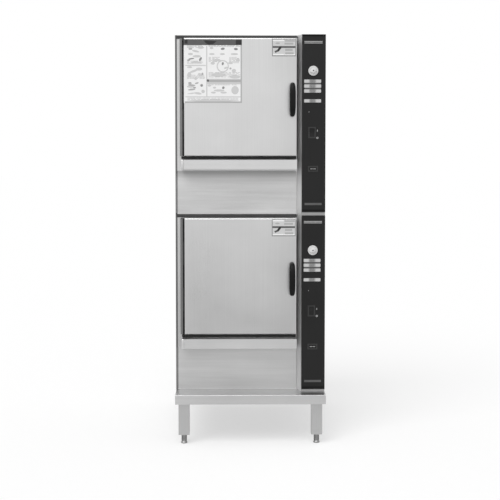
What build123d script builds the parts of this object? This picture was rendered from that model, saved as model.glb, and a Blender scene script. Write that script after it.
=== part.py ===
from build123d import *
import math
import os

# Overall sizes in millimetres. X runs to the right, Y to the rear and Z up.
# The origin is on the floor, under the middle of the whole appliance.
WIDTH = 616.0
UNIT_HEIGHT = 733.0
STAND_TOP = 204.0
FRONT = -310.0
REAR = 395.0
REAR_REACH = 440.0
SHEET = 1.5
HALF = WIDTH / 2
INNER = HALF - SHEET
UNITS = {"lower": STAND_TOP, "upper": STAND_TOP + UNIT_HEIGHT}

# Folded edges of the cabinet panels
FRONT_RETURN = 8.0
REAR_RETURN = 17.0
PAN_UPSTAND = 30.0
COVER_FLANGE = 20.0
LOUVRE_PITCH = 20.0
LOUVRE_ROWS = 8
LOUVRE_HIGH = 6.0
CORNER = 8.0
SCREW_X = 298.0
SCREW_HEIGHTS = (40.0, 200.0, 366.0, 530.0, 690.0)
SHANK_RADIUS = 2.0
SCREW_HOLE_RADIUS = 2.1

# Cavity opening and liner, measured from a unit's own bottom
OPEN_LEFT = -229.0
OPEN_RIGHT = 147.0
OPEN_BOTTOM = 268.0
OPEN_TOP = 676.0
CAVITY_RIGHT = 192.0
CAVITY_TOP = 690.0
CAVITY_BACK = FRONT + 575.0
FLANGE = 23.0
INSULATION = 25.0

# Fan, its baffle and its motor
BAFFLE_LEFT = 149.0
FAN_Y = FRONT + 290.0
FAN_Z = 479.0
FAN_RADIUS = 88.0
SHAFT_RADIUS = 8.0
RUNNING_GAP = 0.05
MOTOR_FACE = 214.0

# Pan racks hang on studs at both sides of the cooking space
RACK_CENTRE = (OPEN_LEFT + BAFFLE_LEFT) / 2
RACK_WALL = (BAFFLE_LEFT - OPEN_LEFT) / 2
POST_OUTER = RACK_WALL - 4.0
POST_THICK = 4.0
RAIL_THICK = 2.0
RUNNER_TIP = RACK_WALL - 40.0
RACK_POSTS_Y = (FRONT + 60.0, FRONT + 290.0, FRONT + 520.0)
STUD_HEIGHTS = (310.0, 640.0)
STUD_RADIUS = 4.0
STUD_LENGTH = 3.7
RUNNER_LEVELS = [285.0 + 73.0 * step for step in range(5)]

# Door, its hinge and its handle
DOOR_LEFT = -270.0
DOOR_RIGHT = 190.0
DOOR_BOTTOM = 237.0
DOOR_TOP = 717.0
DOOR_FACE = FRONT - 55.0
DOOR_BACK = FRONT - 12.0
DOOR_EDGE_RADIUS = 4.0
HINGE_X = -281.0
HINGE_Y = FRONT - 49.0
KNUCKLE_RADIUS = 6.0
PIN_RADIUS = 3.0
KNUCKLES = 5
LEAF = 2.0
HANDLE_X = 171.5
HANDLE_BOTTOM = 398.0
HANDLE_TOP = 537.0
HANDLE_STANDOFF = 48.0
HANDLE_WIDE = 25.0

# Drip tray below the door
TRAY_BOTTOM = 181.0
TRAY_TOP = 223.0
TRAY_FACE = FRONT - 85.0

# Control housing, its black fascia and what sits in it
HOUSING_LEFT = 193.0
FASCIA_LEFT = 211.5
HOUSING_DEPTH = 48.5
HOUSING_FACE = FRONT - HOUSING_DEPTH
FASCIA_FACE = HOUSING_FACE - SHEET
FASCIA_BOTTOM = 15.0
FASCIA_TOP = 728.0
KNOB_X = 257.0
KNOB_Z = 585.0
KNOB_RADIUS = 21.0
SPINDLE_RADIUS = 4.0
SPINDLE_LENGTH = 15.0
SPINDLE_HOLE_RADIUS = 5.0
PIVOT_DEPTH = 6.0
ROCKER_GAP = 0.3
TRUNNION_RADIUS = 2.0
POWER_ROCKER = {"x": 252.5, "z": 334.0, "radius": 19.0, "half": 10.0, "upright": True}
DELIME_ROCKER = {"x": 257.0, "z": 186.0, "radius": 16.5, "half": 6.5, "upright": False}
POWER_TILT = 8.0
LEGEND_X = 254.5
LEGEND_SIZE = (69.0, 13.0)
LEGEND_HEIGHTS = (543.0, 523.0, 503.0, 463.0)

# Steam generator and plumbing in the base of each unit
TANK_LOW = (-190.0, FRONT + 160.0, 45.0)
TANK_HIGH = (110.0, FRONT + 440.0, 195.0)
TANK_WALL = 2.0
TANK_MIDDLE_Y = (TANK_LOW[1] + TANK_HIGH[1]) / 2
FEED_RADIUS = 6.0
STEAM_X = -40.0
STEAM_Y = FRONT + 300.0
STEAM_RADIUS = 14.0
ELEMENT_Z = 120.0
DRAIN_X = -150.0
DRAIN_Y = FRONT + 530.0
DRAIN_Z = 80.0
DRAIN_RADIUS = 19.0
DRAIN_BORE = 17.0
DRAIN_SPIGOT_RADIUS = 21.0
WATER_X = 60.0
WATER_Z = 85.0
SPIGOT_RADIUS = 13.0
GLAND_X = 220.0
GLAND_Z = 90.0
GLAND_RADIUS = 12.5

# Stand
SHELF_FRONT = -440.0
SHELF_BACK = 392.0
SHELF_HALF = 307.0
SKIRT = 38.0
SHELF_SHEET = 2.0
LEG_X = 271.5
LEG_ROWS = {"front": -404.0, "rear": 356.0}
LEG_SIZE = 45.0
LEG_BOTTOM = 38.0
LEG_PLATE = 66.0
FOOT_STEM_RADIUS = 6.0


def save(piece, label):
    """Names a finished piece and writes it as its own file."""
    piece.part.label = label
    export_step(piece.part, f"parts/{label}.step")


def block(low, high, mode=Mode.ADD):
    """Adds or cuts a block between two corners in the open part."""
    centre = tuple((a + b) / 2 for a, b in zip(low, high))
    size = [b - a for a, b in zip(low, high)]
    with Locations(centre):
        Box(*size, mode=mode)


def bar_x(x_low, x_high, y, z, radius, mode=Mode.ADD):
    """Adds or cuts a round bar along X in the open part."""
    with BuildSketch(Plane(origin=(x_low, y, z), x_dir=(0, 1, 0), z_dir=(1, 0, 0))) as section:
        Circle(radius)
    extrude(section.sketch, amount=x_high - x_low, mode=mode)


def bar_y(x, y_low, y_high, z, radius, mode=Mode.ADD):
    """Adds or cuts a round bar along Y in the open part."""
    with BuildSketch(Plane(origin=(x, y_high, z), x_dir=(1, 0, 0), z_dir=(0, -1, 0))) as section:
        Circle(radius)
    extrude(section.sketch, amount=y_high - y_low, mode=mode)


def bar_z(x, y, z_low, z_high, radius, mode=Mode.ADD):
    """Adds or cuts a round bar along Z in the open part."""
    with BuildSketch(Plane(origin=(x, y, z_low))) as section:
        Circle(radius)
    extrude(section.sketch, amount=z_high - z_low, mode=mode)


def front_plane(y, base):
    """A plane that faces the user, with its origin on the unit's centre line."""
    return Plane(origin=(0, y, base), x_dir=(1, 0, 0), z_dir=(0, -1, 0))


def tray_box(low, high, wall, floor_side="bottom"):
    """Adds an open box of folded sheet, open at the top or at the bottom."""
    block(low, high)
    inner_low = [low[0] + wall, low[1] + wall, low[2]]
    inner_high = [high[0] - wall, high[1] - wall, high[2]]
    if floor_side == "bottom":
        inner_low[2] += wall
    else:
        inner_high[2] -= wall
    block(inner_low, inner_high, Mode.SUBTRACT)


# Stand: a folded shelf on four welded tube legs with screw feet

def stand_shelf():
    rib_depth = 22.0
    rib_half_width = 20.0
    under = STAND_TOP - SHELF_SHEET
    rib_half = SHELF_HALF - SHELF_SHEET
    with BuildPart() as shelf:
        low = (-SHELF_HALF, SHELF_FRONT, STAND_TOP - SKIRT)
        high = (SHELF_HALF, SHELF_BACK, STAND_TOP)
        tray_box(low, high, SHELF_SHEET, "top")
        for rib_y in (-230.0, 180.0):
            rib_low = (-rib_half, rib_y - rib_half_width, under - rib_depth)
            block(rib_low, (rib_half, rib_y + rib_half_width, under))
            inner_half = rib_half_width - SHELF_SHEET
            inner_low = (-rib_half, rib_y - inner_half, rib_low[2] + SHELF_SHEET)
            block(inner_low, (rib_half, rib_y + inner_half, under), Mode.SUBTRACT)
        long_edges = shelf.edges().filter_by(Axis.X).group_by(Axis.Z)[-1]
        fillet(long_edges.sort_by(Axis.Y)[0], radius=SHELF_SHEET)
    return shelf


def stand_legs():
    plate = 4.0
    outer_corner = 4.0
    inner_corner = 2.0
    plate_corner = 5.0
    top = STAND_TOP - SHELF_SHEET
    inside = LEG_SIZE - 2 * SHELF_SHEET
    hollow = top - LEG_BOTTOM - 2 * plate
    spots = [(side * LEG_X, y) for side in (-1, 1) for y in LEG_ROWS.values()]
    with BuildPart() as legs:
        with BuildSketch(Plane.XY.offset(LEG_BOTTOM)):
            with Locations(*spots):
                RectangleRounded(LEG_SIZE, LEG_SIZE, outer_corner)
        extrude(amount=top - LEG_BOTTOM)
        with BuildSketch(Plane.XY.offset(LEG_BOTTOM + plate)):
            with Locations(*spots):
                RectangleRounded(inside, inside, inner_corner)
        extrude(amount=hollow, mode=Mode.SUBTRACT)
        with BuildSketch(Plane.XY.offset(top - plate)):
            with Locations(*spots):
                RectangleRounded(LEG_PLATE, LEG_PLATE, plate_corner)
        extrude(amount=plate)
        for x, y in spots:
            bore = FOOT_STEM_RADIUS + RUNNING_GAP
            bar_z(x, y, LEG_BOTTOM, LEG_BOTTOM + plate, bore, Mode.SUBTRACT)
    return legs


def levelling_foot(x, y):
    pad_radius = 13.0
    pad_height = 5.0
    body_radius = 10.5
    body_start = 9.0
    shoulder = LEG_BOTTOM - 0.2
    stem_top = 76.0
    with BuildPart() as foot:
        with BuildSketch(Plane(origin=(x, y, 0), x_dir=(1, 0, 0), z_dir=(0, -1, 0))):
            with BuildLine():
                Polyline(
                    (0, 0), (pad_radius, 0), (pad_radius, pad_height),
                    (body_radius, body_start), (body_radius, shoulder),
                    (FOOT_STEM_RADIUS, shoulder), (FOOT_STEM_RADIUS, stem_top),
                    (0, stem_top), close=True,
                )
            make_face()
        revolve(axis=Axis((x, y, 0), (0, 0, 1)))
    return foot


# Cabinet shell: pan, sides, cover, rear panel and front frame

def rear_screw_spots(base):
    """Places of the rear panel's screws as x and z."""
    return [(side * SCREW_X, base + z) for side in (-1, 1) for z in SCREW_HEIGHTS]


def base_pan(base):
    with BuildPart() as pan:
        low = (-INNER, FRONT + SHEET, base)
        high = (INNER, REAR - 2 * SHEET, base + PAN_UPSTAND)
        tray_box(low, high, SHEET)
    return pan


def side_panels(base):
    louvre_y = REAR - 190.0
    louvre_z = base + 125.0
    louvre_long = 100.0
    column_pitch = 130.0
    with BuildPart() as panels:
        with BuildSketch(Plane.XY.offset(base)):
            for side in (-1, 1):
                with Locations((side * (HALF - SHEET / 2), (FRONT + REAR) / 2)):
                    Rectangle(SHEET, REAR - FRONT)
                with Locations((side * (HALF - FRONT_RETURN / 2), FRONT + SHEET / 2)):
                    Rectangle(FRONT_RETURN, SHEET)
                with Locations((side * (HALF - REAR_RETURN / 2), REAR - 1.5 * SHEET)):
                    Rectangle(REAR_RETURN, SHEET)
        extrude(amount=UNIT_HEIGHT)
        with BuildSketch(Plane.YZ):
            with Locations((louvre_y, louvre_z)):
                with GridLocations(column_pitch, LOUVRE_PITCH, 2, LOUVRE_ROWS):
                    SlotOverall(louvre_long, LOUVRE_HIGH)
        extrude(amount=HALF + SHEET, both=True, mode=Mode.SUBTRACT)
        for x, z in rear_screw_spots(base):
            bar_y(x, REAR - 2 * SHEET, REAR - SHEET, z, SCREW_HOLE_RADIUS, Mode.SUBTRACT)
    return panels


def top_cover(base):
    with BuildPart() as cover:
        top = base + UNIT_HEIGHT
        low = (-INNER, FRONT + SHEET, top - COVER_FLANGE)
        high = (INNER, REAR - 2 * SHEET, top)
        tray_box(low, high, SHEET, "top")
    return cover


def rear_panel(base):
    vent_centre = (150.0, 560.0)
    vent_long = 90.0
    column_pitch = 110.0
    with BuildPart() as panel:
        block((-INNER, REAR - SHEET, base), (INNER, REAR, base + UNIT_HEIGHT))
        with BuildSketch(front_plane(REAR, base)):
            with Locations(vent_centre):
                with GridLocations(column_pitch, LOUVRE_PITCH, 2, LOUVRE_ROWS):
                    SlotOverall(vent_long, LOUVRE_HIGH)
        extrude(amount=SHEET, mode=Mode.SUBTRACT)
        holes = [(x, z, SCREW_HOLE_RADIUS) for x, z in rear_screw_spots(base)]
        holes.append((DRAIN_X, base + DRAIN_Z, DRAIN_RADIUS + 1.0))
        holes.append((WATER_X, base + WATER_Z, SPIGOT_RADIUS + 0.5))
        holes.append((GLAND_X, base + GLAND_Z, GLAND_RADIUS + 0.1))
        for x, z, radius in holes:
            bar_y(x, REAR - SHEET, REAR, z, radius, Mode.SUBTRACT)
    return panel


def panel_screws():
    head_radius = 4.5
    head_height = 2.6
    dome = 1.3
    shank = 9.0
    with BuildPart() as screws:
        for base in UNITS.values():
            for x, z in rear_screw_spots(base):
                bar_y(x, REAR, REAR + head_height, z, head_radius)
        rims = screws.edges().filter_by(GeomType.CIRCLE).group_by(Axis.Y)[-1]
        fillet(rims, radius=dome)
        for base in UNITS.values():
            for x, z in rear_screw_spots(base):
                bar_y(x, REAR - shank, REAR, z, SHANK_RADIUS)
    return screws


def front_frame(base):
    frame_half = HALF - FRONT_RETURN
    open_width = OPEN_RIGHT - OPEN_LEFT
    open_height = OPEN_TOP - OPEN_BOTTOM
    hatch_centre = (-50.0, 90.0)
    hatch_width = 420.0
    hatch_height = 120.0
    bracket_half = 10.0
    bracket_reach = 60.0
    bracket_top = base + TRAY_BOTTOM - 0.2
    with BuildPart() as frame:
        with BuildSketch(front_plane(FRONT + SHEET, base)):
            with Locations((0, UNIT_HEIGHT / 2)):
                Rectangle(2 * frame_half, UNIT_HEIGHT)
            with Locations(((OPEN_LEFT + OPEN_RIGHT) / 2, (OPEN_BOTTOM + OPEN_TOP) / 2)):
                RectangleRounded(open_width, open_height, CORNER, mode=Mode.SUBTRACT)
            with Locations(hatch_centre):
                RectangleRounded(hatch_width, hatch_height, CORNER, mode=Mode.SUBTRACT)
        extrude(amount=SHEET)
        for bracket_x in (-235.0, 155.0):
            low = (bracket_x - bracket_half, FRONT - bracket_reach, bracket_top - SHEET)
            block(low, (bracket_x + bracket_half, FRONT, bracket_top))
    return frame


def service_panels():
    thick = 2.0
    bottom = 3.0
    top = 178.0
    left = 1.0 - HALF
    right = HOUSING_LEFT - 1.0
    with BuildPart() as panels:
        for base in UNITS.values():
            with BuildSketch(front_plane(FRONT, base)):
                with Locations(((left + right) / 2, (bottom + top) / 2)):
                    RectangleRounded(right - left, top - bottom, CORNER)
            extrude(amount=thick)
    return panels


# Steam cavity with its insulation, racks, baffle, blower and motor

def steam_cavity(base):
    wall_end = CAVITY_RIGHT + SHEET
    floor = base + OPEN_BOTTOM
    flange_top = base + CAVITY_TOP + 18.0
    with BuildPart() as cavity:
        low = (OPEN_LEFT - SHEET, FRONT + SHEET, floor - SHEET)
        block(low, (wall_end, CAVITY_BACK + SHEET, base + CAVITY_TOP + SHEET))
        flange_low = (OPEN_LEFT - FLANGE, FRONT + SHEET, floor - FLANGE)
        block(flange_low, (CAVITY_RIGHT + FLANGE, FRONT + 2 * SHEET, flange_top))
        inner_low = (OPEN_LEFT, FRONT + 2 * SHEET, floor)
        block(inner_low, (CAVITY_RIGHT, CAVITY_BACK, base + CAVITY_TOP), Mode.SUBTRACT)
        mouth_low = (OPEN_LEFT, FRONT + SHEET, floor)
        mouth_high = (OPEN_RIGHT, FRONT + 2 * SHEET, base + OPEN_TOP)
        block(mouth_low, mouth_high, Mode.SUBTRACT)
        for y in (RACK_POSTS_Y[0], RACK_POSTS_Y[-1]):
            for z in STUD_HEIGHTS:
                bar_x(OPEN_LEFT, OPEN_LEFT + STUD_LENGTH, y, base + z, STUD_RADIUS)
        shaft_hole = SHAFT_RADIUS + 1.0
        bar_x(CAVITY_RIGHT, wall_end, FAN_Y, base + FAN_Z, shaft_hole, Mode.SUBTRACT)
        steam_hole = STEAM_RADIUS + RUNNING_GAP
        bar_z(STEAM_X, STEAM_Y, floor - SHEET, floor, steam_hole, Mode.SUBTRACT)
        bar_z(DRAIN_X, DRAIN_Y, floor - SHEET, floor, DRAIN_BORE, Mode.SUBTRACT)
    return cavity


def cavity_insulation():
    top_cover_of_wool = 20.0
    shaft_hole = SHAFT_RADIUS + 3.0
    steam_hole = STEAM_RADIUS + 0.5
    drain_hole = DRAIN_RADIUS + 0.5
    front = FRONT + 2 * SHEET
    right = CAVITY_RIGHT + SHEET
    back = CAVITY_BACK + SHEET
    with BuildPart() as wool:
        for base in UNITS.values():
            floor = base + OPEN_BOTTOM - SHEET
            low = (OPEN_LEFT - SHEET - INSULATION, front, floor - INSULATION)
            block(low, (MOTOR_FACE, back + INSULATION, base + CAVITY_TOP + top_cover_of_wool))
            inner_low = (OPEN_LEFT - SHEET, front, floor)
            block(inner_low, (right, back, base + CAVITY_TOP + SHEET), Mode.SUBTRACT)
            bar_x(right, MOTOR_FACE, FAN_Y, base + FAN_Z, shaft_hole, Mode.SUBTRACT)
            bar_z(STEAM_X, STEAM_Y, floor - INSULATION, floor, steam_hole, Mode.SUBTRACT)
            bar_z(DRAIN_X, DRAIN_Y, floor - INSULATION, floor, drain_hole, Mode.SUBTRACT)
    return wool


def rack_strips(base, side):
    """One side's pan rack as its strips: posts, rails, runners and hooks."""
    post_half = 4.0
    post_low = OPEN_BOTTOM + 4.0
    post_high = 668.0
    rail_high = 14.0
    strip_ends = (FRONT + 20.0, FRONT + 550.0)
    hook_thick = 3.5
    hook_half = 6.0
    hook_high = 10.0
    post_inner = POST_OUTER - POST_THICK
    rail_inner = post_inner - RAIL_THICK
    strips = []

    def add_strip(reaches, ends, heights):
        x_low, x_high = sorted(RACK_CENTRE + side * reach for reach in reaches)
        with BuildPart() as strip:
            block((x_low, ends[0], base + heights[0]), (x_high, ends[1], base + heights[1]))
        strips.append(strip.part)

    for y in RACK_POSTS_Y:
        ends = (y - post_half, y + post_half)
        add_strip((post_inner, POST_OUTER), ends, (post_low, post_high))
    for level in RUNNER_LEVELS:
        add_strip((RUNNER_TIP, post_inner), strip_ends, (level - SHEET, level))
        add_strip((rail_inner, post_inner), strip_ends, (level, level + rail_high))
    for y in (RACK_POSTS_Y[0], RACK_POSTS_Y[-1]):
        for z in STUD_HEIGHTS:
            hook_low = z + STUD_RADIUS + RUNNING_GAP
            ends = (y - hook_half, y + hook_half)
            heights = (hook_low, hook_low + hook_high)
            add_strip((POST_OUTER, POST_OUTER + hook_thick), ends, heights)
    return strips


def pan_racks(base):
    with BuildPart() as racks:
        strips = [strip for side in (-1, 1) for strip in rack_strips(base, side)]
        add(strips, mode=Mode.REPLACE)
    return racks


def fan_baffles():
    hole_radius = 6.0
    ring_pitch = 22.0
    slot_long = 36.0
    slot_wide = 12.0
    slot_columns = 480.0
    slot_pitch = 44.0
    with BuildPart() as baffles:
        for base in UNITS.values():
            low = (BAFFLE_LEFT, FRONT + 2 * SHEET, base + OPEN_BOTTOM)
            high = (BAFFLE_LEFT + SHEET, CAVITY_BACK, base + CAVITY_TOP)
            block(low, high)
            with BuildSketch(Plane.YZ.offset(BAFFLE_LEFT)):
                with Locations((FAN_Y, base + FAN_Z)):
                    Circle(hole_radius)
                    for ring in (1, 2, 3):
                        with PolarLocations(ring_pitch * ring, 6 * ring):
                            Circle(hole_radius)
                    with GridLocations(slot_columns, slot_pitch, 2, 8):
                        SlotOverall(slot_long, slot_wide, rotation=90)
            extrude(amount=SHEET, mode=Mode.SUBTRACT)
            for y in (RACK_POSTS_Y[0], RACK_POSTS_Y[-1]):
                for z in STUD_HEIGHTS:
                    bar_x(BAFFLE_LEFT - STUD_LENGTH, BAFFLE_LEFT, y, base + z, STUD_RADIUS)
    return baffles


def blower_wheel(base):
    back = 182.0
    front = 158.0
    plate = 2.0
    rim_width = 18.0
    blades = 24
    blade_long = 15.0
    blade_tilt = 30.0
    hub_radius = 16.0
    hub_front = front + 6.0
    shaft_end = MOTOR_FACE + 22.0
    z = base + FAN_Z
    with BuildPart() as wheel:
        bar_x(back, back + plate, FAN_Y, z, FAN_RADIUS)
        ring_plane = Plane(origin=(front - plate, FAN_Y, z), x_dir=(0, 1, 0), z_dir=(1, 0, 0))
        with BuildSketch(ring_plane):
            Circle(FAN_RADIUS)
            Circle(FAN_RADIUS - rim_width, mode=Mode.SUBTRACT)
        extrude(amount=plate)
        with BuildSketch(Plane(origin=(front, FAN_Y, z), x_dir=(0, 1, 0), z_dir=(1, 0, 0))):
            with PolarLocations(FAN_RADIUS - rim_width / 2, blades):
                Rectangle(blade_long, SHEET, rotation=blade_tilt)
        extrude(amount=back - front)
        bar_x(hub_front, back, FAN_Y, z, hub_radius)
        bar_x(back, shaft_end, FAN_Y, z, SHAFT_RADIUS)
    return wheel


def blower_motors():
    plate_half = 55.0
    plate = 2.5
    body_radius = 42.0
    body_end = MOTOR_FACE + 70.0
    cap_radius = 30.0
    cap_end = MOTOR_FACE + 78.0
    bore_end = MOTOR_FACE + 24.0
    bore = SHAFT_RADIUS + RUNNING_GAP
    with BuildPart() as motors:
        for base in UNITS.values():
            z = base + FAN_Z
            plate_low = (MOTOR_FACE, FAN_Y - plate_half, z - plate_half)
            block(plate_low, (MOTOR_FACE + plate, FAN_Y + plate_half, z + plate_half))
            bar_x(MOTOR_FACE + plate, body_end, FAN_Y, z, body_radius)
            bar_x(body_end, cap_end, FAN_Y, z, cap_radius)
            bar_x(MOTOR_FACE, bore_end, FAN_Y, z, bore, Mode.SUBTRACT)
    return motors


# Steam generator and plumbing in the base compartment

def steam_generators():
    foot_inset = 25.0
    foot_half = 10.0
    element_hole = 42.0
    with BuildPart() as tanks:
        for base in UNITS.values():
            low = (TANK_LOW[0], TANK_LOW[1], base + TANK_LOW[2])
            high = (TANK_HIGH[0], TANK_HIGH[1], base + TANK_HIGH[2])
            block(low, high)
            inner_low = tuple(a + TANK_WALL for a in low)
            inner_high = tuple(a - TANK_WALL for a in high)
            block(inner_low, inner_high, Mode.SUBTRACT)
            for x in (low[0] + foot_inset, high[0] - foot_inset):
                for y in (low[1] + foot_inset, high[1] - foot_inset):
                    foot_low = (x - foot_half, y - foot_half, base + SHEET)
                    block(foot_low, (x + foot_half, y + foot_half, low[2]))
            steam_hole = STEAM_RADIUS + RUNNING_GAP
            bar_z(STEAM_X, STEAM_Y, inner_high[2], high[2], steam_hole, Mode.SUBTRACT)
            element_z = base + ELEMENT_Z
            bar_x(inner_high[0], high[0], TANK_MIDDLE_Y, element_z, element_hole, Mode.SUBTRACT)
            feed_hole = FEED_RADIUS + RUNNING_GAP
            bar_y(WATER_X, inner_high[1], high[1], base + WATER_Z, feed_hole, Mode.SUBTRACT)
    return tanks


def heating_elements():
    rod = 4.0
    turn = 20.0
    loop_pitch = 25.0
    far_end = TANK_LOW[0] + 50.0
    flange = TANK_HIGH[0]
    flange_radius = 52.0
    flange_end = flange + 8.0
    box_radius = 30.0
    box_end = flange + 30.0
    near_y = TANK_MIDDLE_Y - turn
    far_y = TANK_MIDDLE_Y + turn
    with BuildPart() as elements:
        for base in UNITS.values():
            middle_z = base + ELEMENT_Z
            for z in (middle_z - loop_pitch, middle_z, middle_z + loop_pitch):
                near = (flange, near_y, z)
                bend = (far_end, near_y, z)
                back = (far_end, far_y, z)
                with BuildLine():
                    Line(near, bend)
                    ThreePointArc(bend, (far_end - turn, TANK_MIDDLE_Y, z), back)
                    Line(back, (flange, far_y, z))
                with BuildSketch(Plane(origin=near, x_dir=(0, 1, 0), z_dir=(-1, 0, 0))):
                    Circle(rod)
                sweep()
            bar_x(flange, flange_end, TANK_MIDDLE_Y, middle_z, flange_radius)
            bar_x(flange_end, box_end, TANK_MIDDLE_Y, middle_z, box_radius)
    return elements


def plumbing_pipes():
    steam_bore = STEAM_RADIUS - 2.0
    into_tank = 6.0
    above_floor = 3.0
    bend_radius = 45.0
    with BuildPart() as pipes:
        for base in UNITS.values():
            steam_low = base + TANK_HIGH[2] - into_tank
            steam_high = base + OPEN_BOTTOM + above_floor
            bar_z(STEAM_X, STEAM_Y, steam_low, steam_high, STEAM_RADIUS)
            bar_z(STEAM_X, STEAM_Y, steam_low, steam_high, steam_bore, Mode.SUBTRACT)
            top = (DRAIN_X, DRAIN_Y, base + OPEN_BOTTOM - SHEET)
            corner = (DRAIN_X, DRAIN_Y, base + DRAIN_Z)
            end = (DRAIN_X, REAR_REACH, base + DRAIN_Z)
            with BuildLine():
                FilletPolyline(top, corner, end, radius=bend_radius)
            with BuildSketch(Plane(origin=top, x_dir=(1, 0, 0), z_dir=(0, 0, -1))):
                Circle(DRAIN_RADIUS)
                Circle(DRAIN_BORE, mode=Mode.SUBTRACT)
            sweep()
            bar_y(DRAIN_X, REAR, REAR_REACH, base + DRAIN_Z, DRAIN_SPIGOT_RADIUS)
            bar_y(DRAIN_X, REAR, REAR_REACH, base + DRAIN_Z, DRAIN_BORE, Mode.SUBTRACT)
    return pipes


def water_inlet_valves():
    inside = REAR - SHEET
    body_front = inside - 58.0
    body_half = 20.0
    body_half_height = 22.0
    coil_half = 15.0
    coil_front = inside - 46.0
    coil_back = inside - 14.0
    coil_top = 62.0
    neck_end = REAR + 2.0
    inlet_bore = SPIGOT_RADIUS - 3.5
    feed_bore = FEED_RADIUS - 1.0
    feed_end = TANK_HIGH[1] - TANK_WALL - 4.0
    with BuildPart() as valves:
        for base in UNITS.values():
            z = base + WATER_Z
            body_low = (WATER_X - body_half, body_front, z - body_half_height)
            block(body_low, (WATER_X + body_half, inside, z + body_half_height))
            coil_low = (WATER_X - coil_half, coil_front, z + body_half_height)
            block(coil_low, (WATER_X + coil_half, coil_back, z + coil_top))
            bar_y(WATER_X, inside, neck_end, z, SPIGOT_RADIUS - 0.5)
            bar_y(WATER_X, neck_end, REAR_REACH, z, SPIGOT_RADIUS)
            bar_y(WATER_X, inside + 10.0, REAR_REACH, z, inlet_bore, Mode.SUBTRACT)
            bar_y(WATER_X, feed_end, body_front, z, FEED_RADIUS)
            bar_y(WATER_X, feed_end, body_front - 4.0, z, feed_bore, Mode.SUBTRACT)
    return valves


def supply_glands():
    cord_radius = 8.0
    front_end = REAR - 14.0
    rear_end = REAR + 24.0
    across_corners = 18.0
    cap_nut = (REAR + 8.0, 8.0)
    lock_nut = (REAR - SHEET, 6.0)
    with BuildPart() as glands:
        for base in UNITS.values():
            z = base + GLAND_Z
            bar_y(GLAND_X, front_end, rear_end, z, GLAND_RADIUS)
            for y, thick in (cap_nut, lock_nut):
                facing = Plane(origin=(GLAND_X, y, z), x_dir=(1, 0, 0), z_dir=(0, -1, 0))
                with BuildSketch(facing):
                    RegularPolygon(across_corners, 6)
                extrude(amount=thick)
            bar_y(GLAND_X, front_end, rear_end, z, cord_radius, Mode.SUBTRACT)
    return glands


# Control housing with its fascia, knob, rockers and what is behind them

def pivot_plane(rocker, base):
    """A plane square to a rocker's pivot, with its own x axis towards the user."""
    pivot = (rocker["x"], FASCIA_FACE + PIVOT_DEPTH, base + rocker["z"])
    along = (1, 0, 0) if rocker["upright"] else (0, 0, 1)
    return Plane(origin=pivot, x_dir=(0, -1, 0), z_dir=along)


def rocker_body_size(rocker):
    """Width and height of the rocker's housing behind the fascia."""
    long_side = 2 * rocker["radius"] + 4.0
    short_side = 2 * rocker["half"] + 7.0
    return (short_side, long_side) if rocker["upright"] else (long_side, short_side)


def cut_control_holes(base, y_low, y_high):
    """Cuts the openings for the spindle and both rocker housings."""
    bar_y(KNOB_X, y_low, y_high, base + KNOB_Z, SPINDLE_HOLE_RADIUS, Mode.SUBTRACT)
    for rocker in (POWER_ROCKER, DELIME_ROCKER):
        wide, tall = rocker_body_size(rocker)
        x, z = rocker["x"], base + rocker["z"]
        low = (x - wide / 2, y_low, z - tall / 2)
        block(low, (x + wide / 2, y_high, z + tall / 2), Mode.SUBTRACT)


def control_housing(base):
    run = FASCIA_LEFT - HOUSING_LEFT
    shift = SHEET * math.hypot(run, HOUSING_DEPTH) / HOUSING_DEPTH
    inner_run = run * (HOUSING_DEPTH - SHEET) / HOUSING_DEPTH
    inner_face = HOUSING_FACE + SHEET
    with BuildPart() as housing:
        with BuildSketch(Plane.XY.offset(base)):
            with BuildLine():
                Polyline(
                    (HOUSING_LEFT, FRONT), (FASCIA_LEFT, HOUSING_FACE),
                    (HALF, HOUSING_FACE), (HALF, FRONT), close=True,
                )
            make_face()
        extrude(amount=UNIT_HEIGHT)
        with BuildSketch(Plane.XY.offset(base + SHEET)):
            with BuildLine():
                Polyline(
                    (HOUSING_LEFT + shift, FRONT),
                    (HOUSING_LEFT + shift + inner_run, inner_face),
                    (INNER, inner_face), (INNER, FRONT), close=True,
                )
            make_face()
        extrude(amount=UNIT_HEIGHT - 2 * SHEET, mode=Mode.SUBTRACT)
        cut_control_holes(base, HOUSING_FACE, inner_face)
    return housing


def control_fascia(base):
    corner = 3.0
    height = FASCIA_TOP - FASCIA_BOTTOM
    with BuildPart() as fascia:
        with BuildSketch(front_plane(HOUSING_FACE, base)):
            with Locations(((FASCIA_LEFT + HALF) / 2, FASCIA_BOTTOM + height / 2)):
                RectangleRounded(HALF - FASCIA_LEFT, height, corner)
        extrude(amount=SHEET)
        cut_control_holes(base, FASCIA_FACE, HOUSING_FACE)
    return fascia


def timer_knob(base):
    skirt = 5.0
    skirt_edge = 1.5
    hub_radius = 9.0
    grip_long = 27.0
    grip_wide = 7.0
    grip_turn = 15.0
    grip_high = 10.0
    back = FASCIA_FACE - 0.4
    face = back - skirt
    z = base + KNOB_Z
    with BuildPart() as knob:
        bar_y(KNOB_X, face, back, z, KNOB_RADIUS)
        rim = knob.edges().filter_by(GeomType.CIRCLE).sort_by(Axis.Y)[0]
        fillet(rim, radius=skirt_edge)
        with BuildSketch(Plane(origin=(KNOB_X, face, z), x_dir=(1, 0, 0), z_dir=(0, -1, 0))):
            Circle(hub_radius)
            SlotOverall(grip_long, grip_wide, rotation=grip_turn)
        extrude(amount=grip_high)
        bar_y(KNOB_X, back, FASCIA_FACE + SPINDLE_LENGTH, z, SPINDLE_RADIUS)
    return knob


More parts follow.
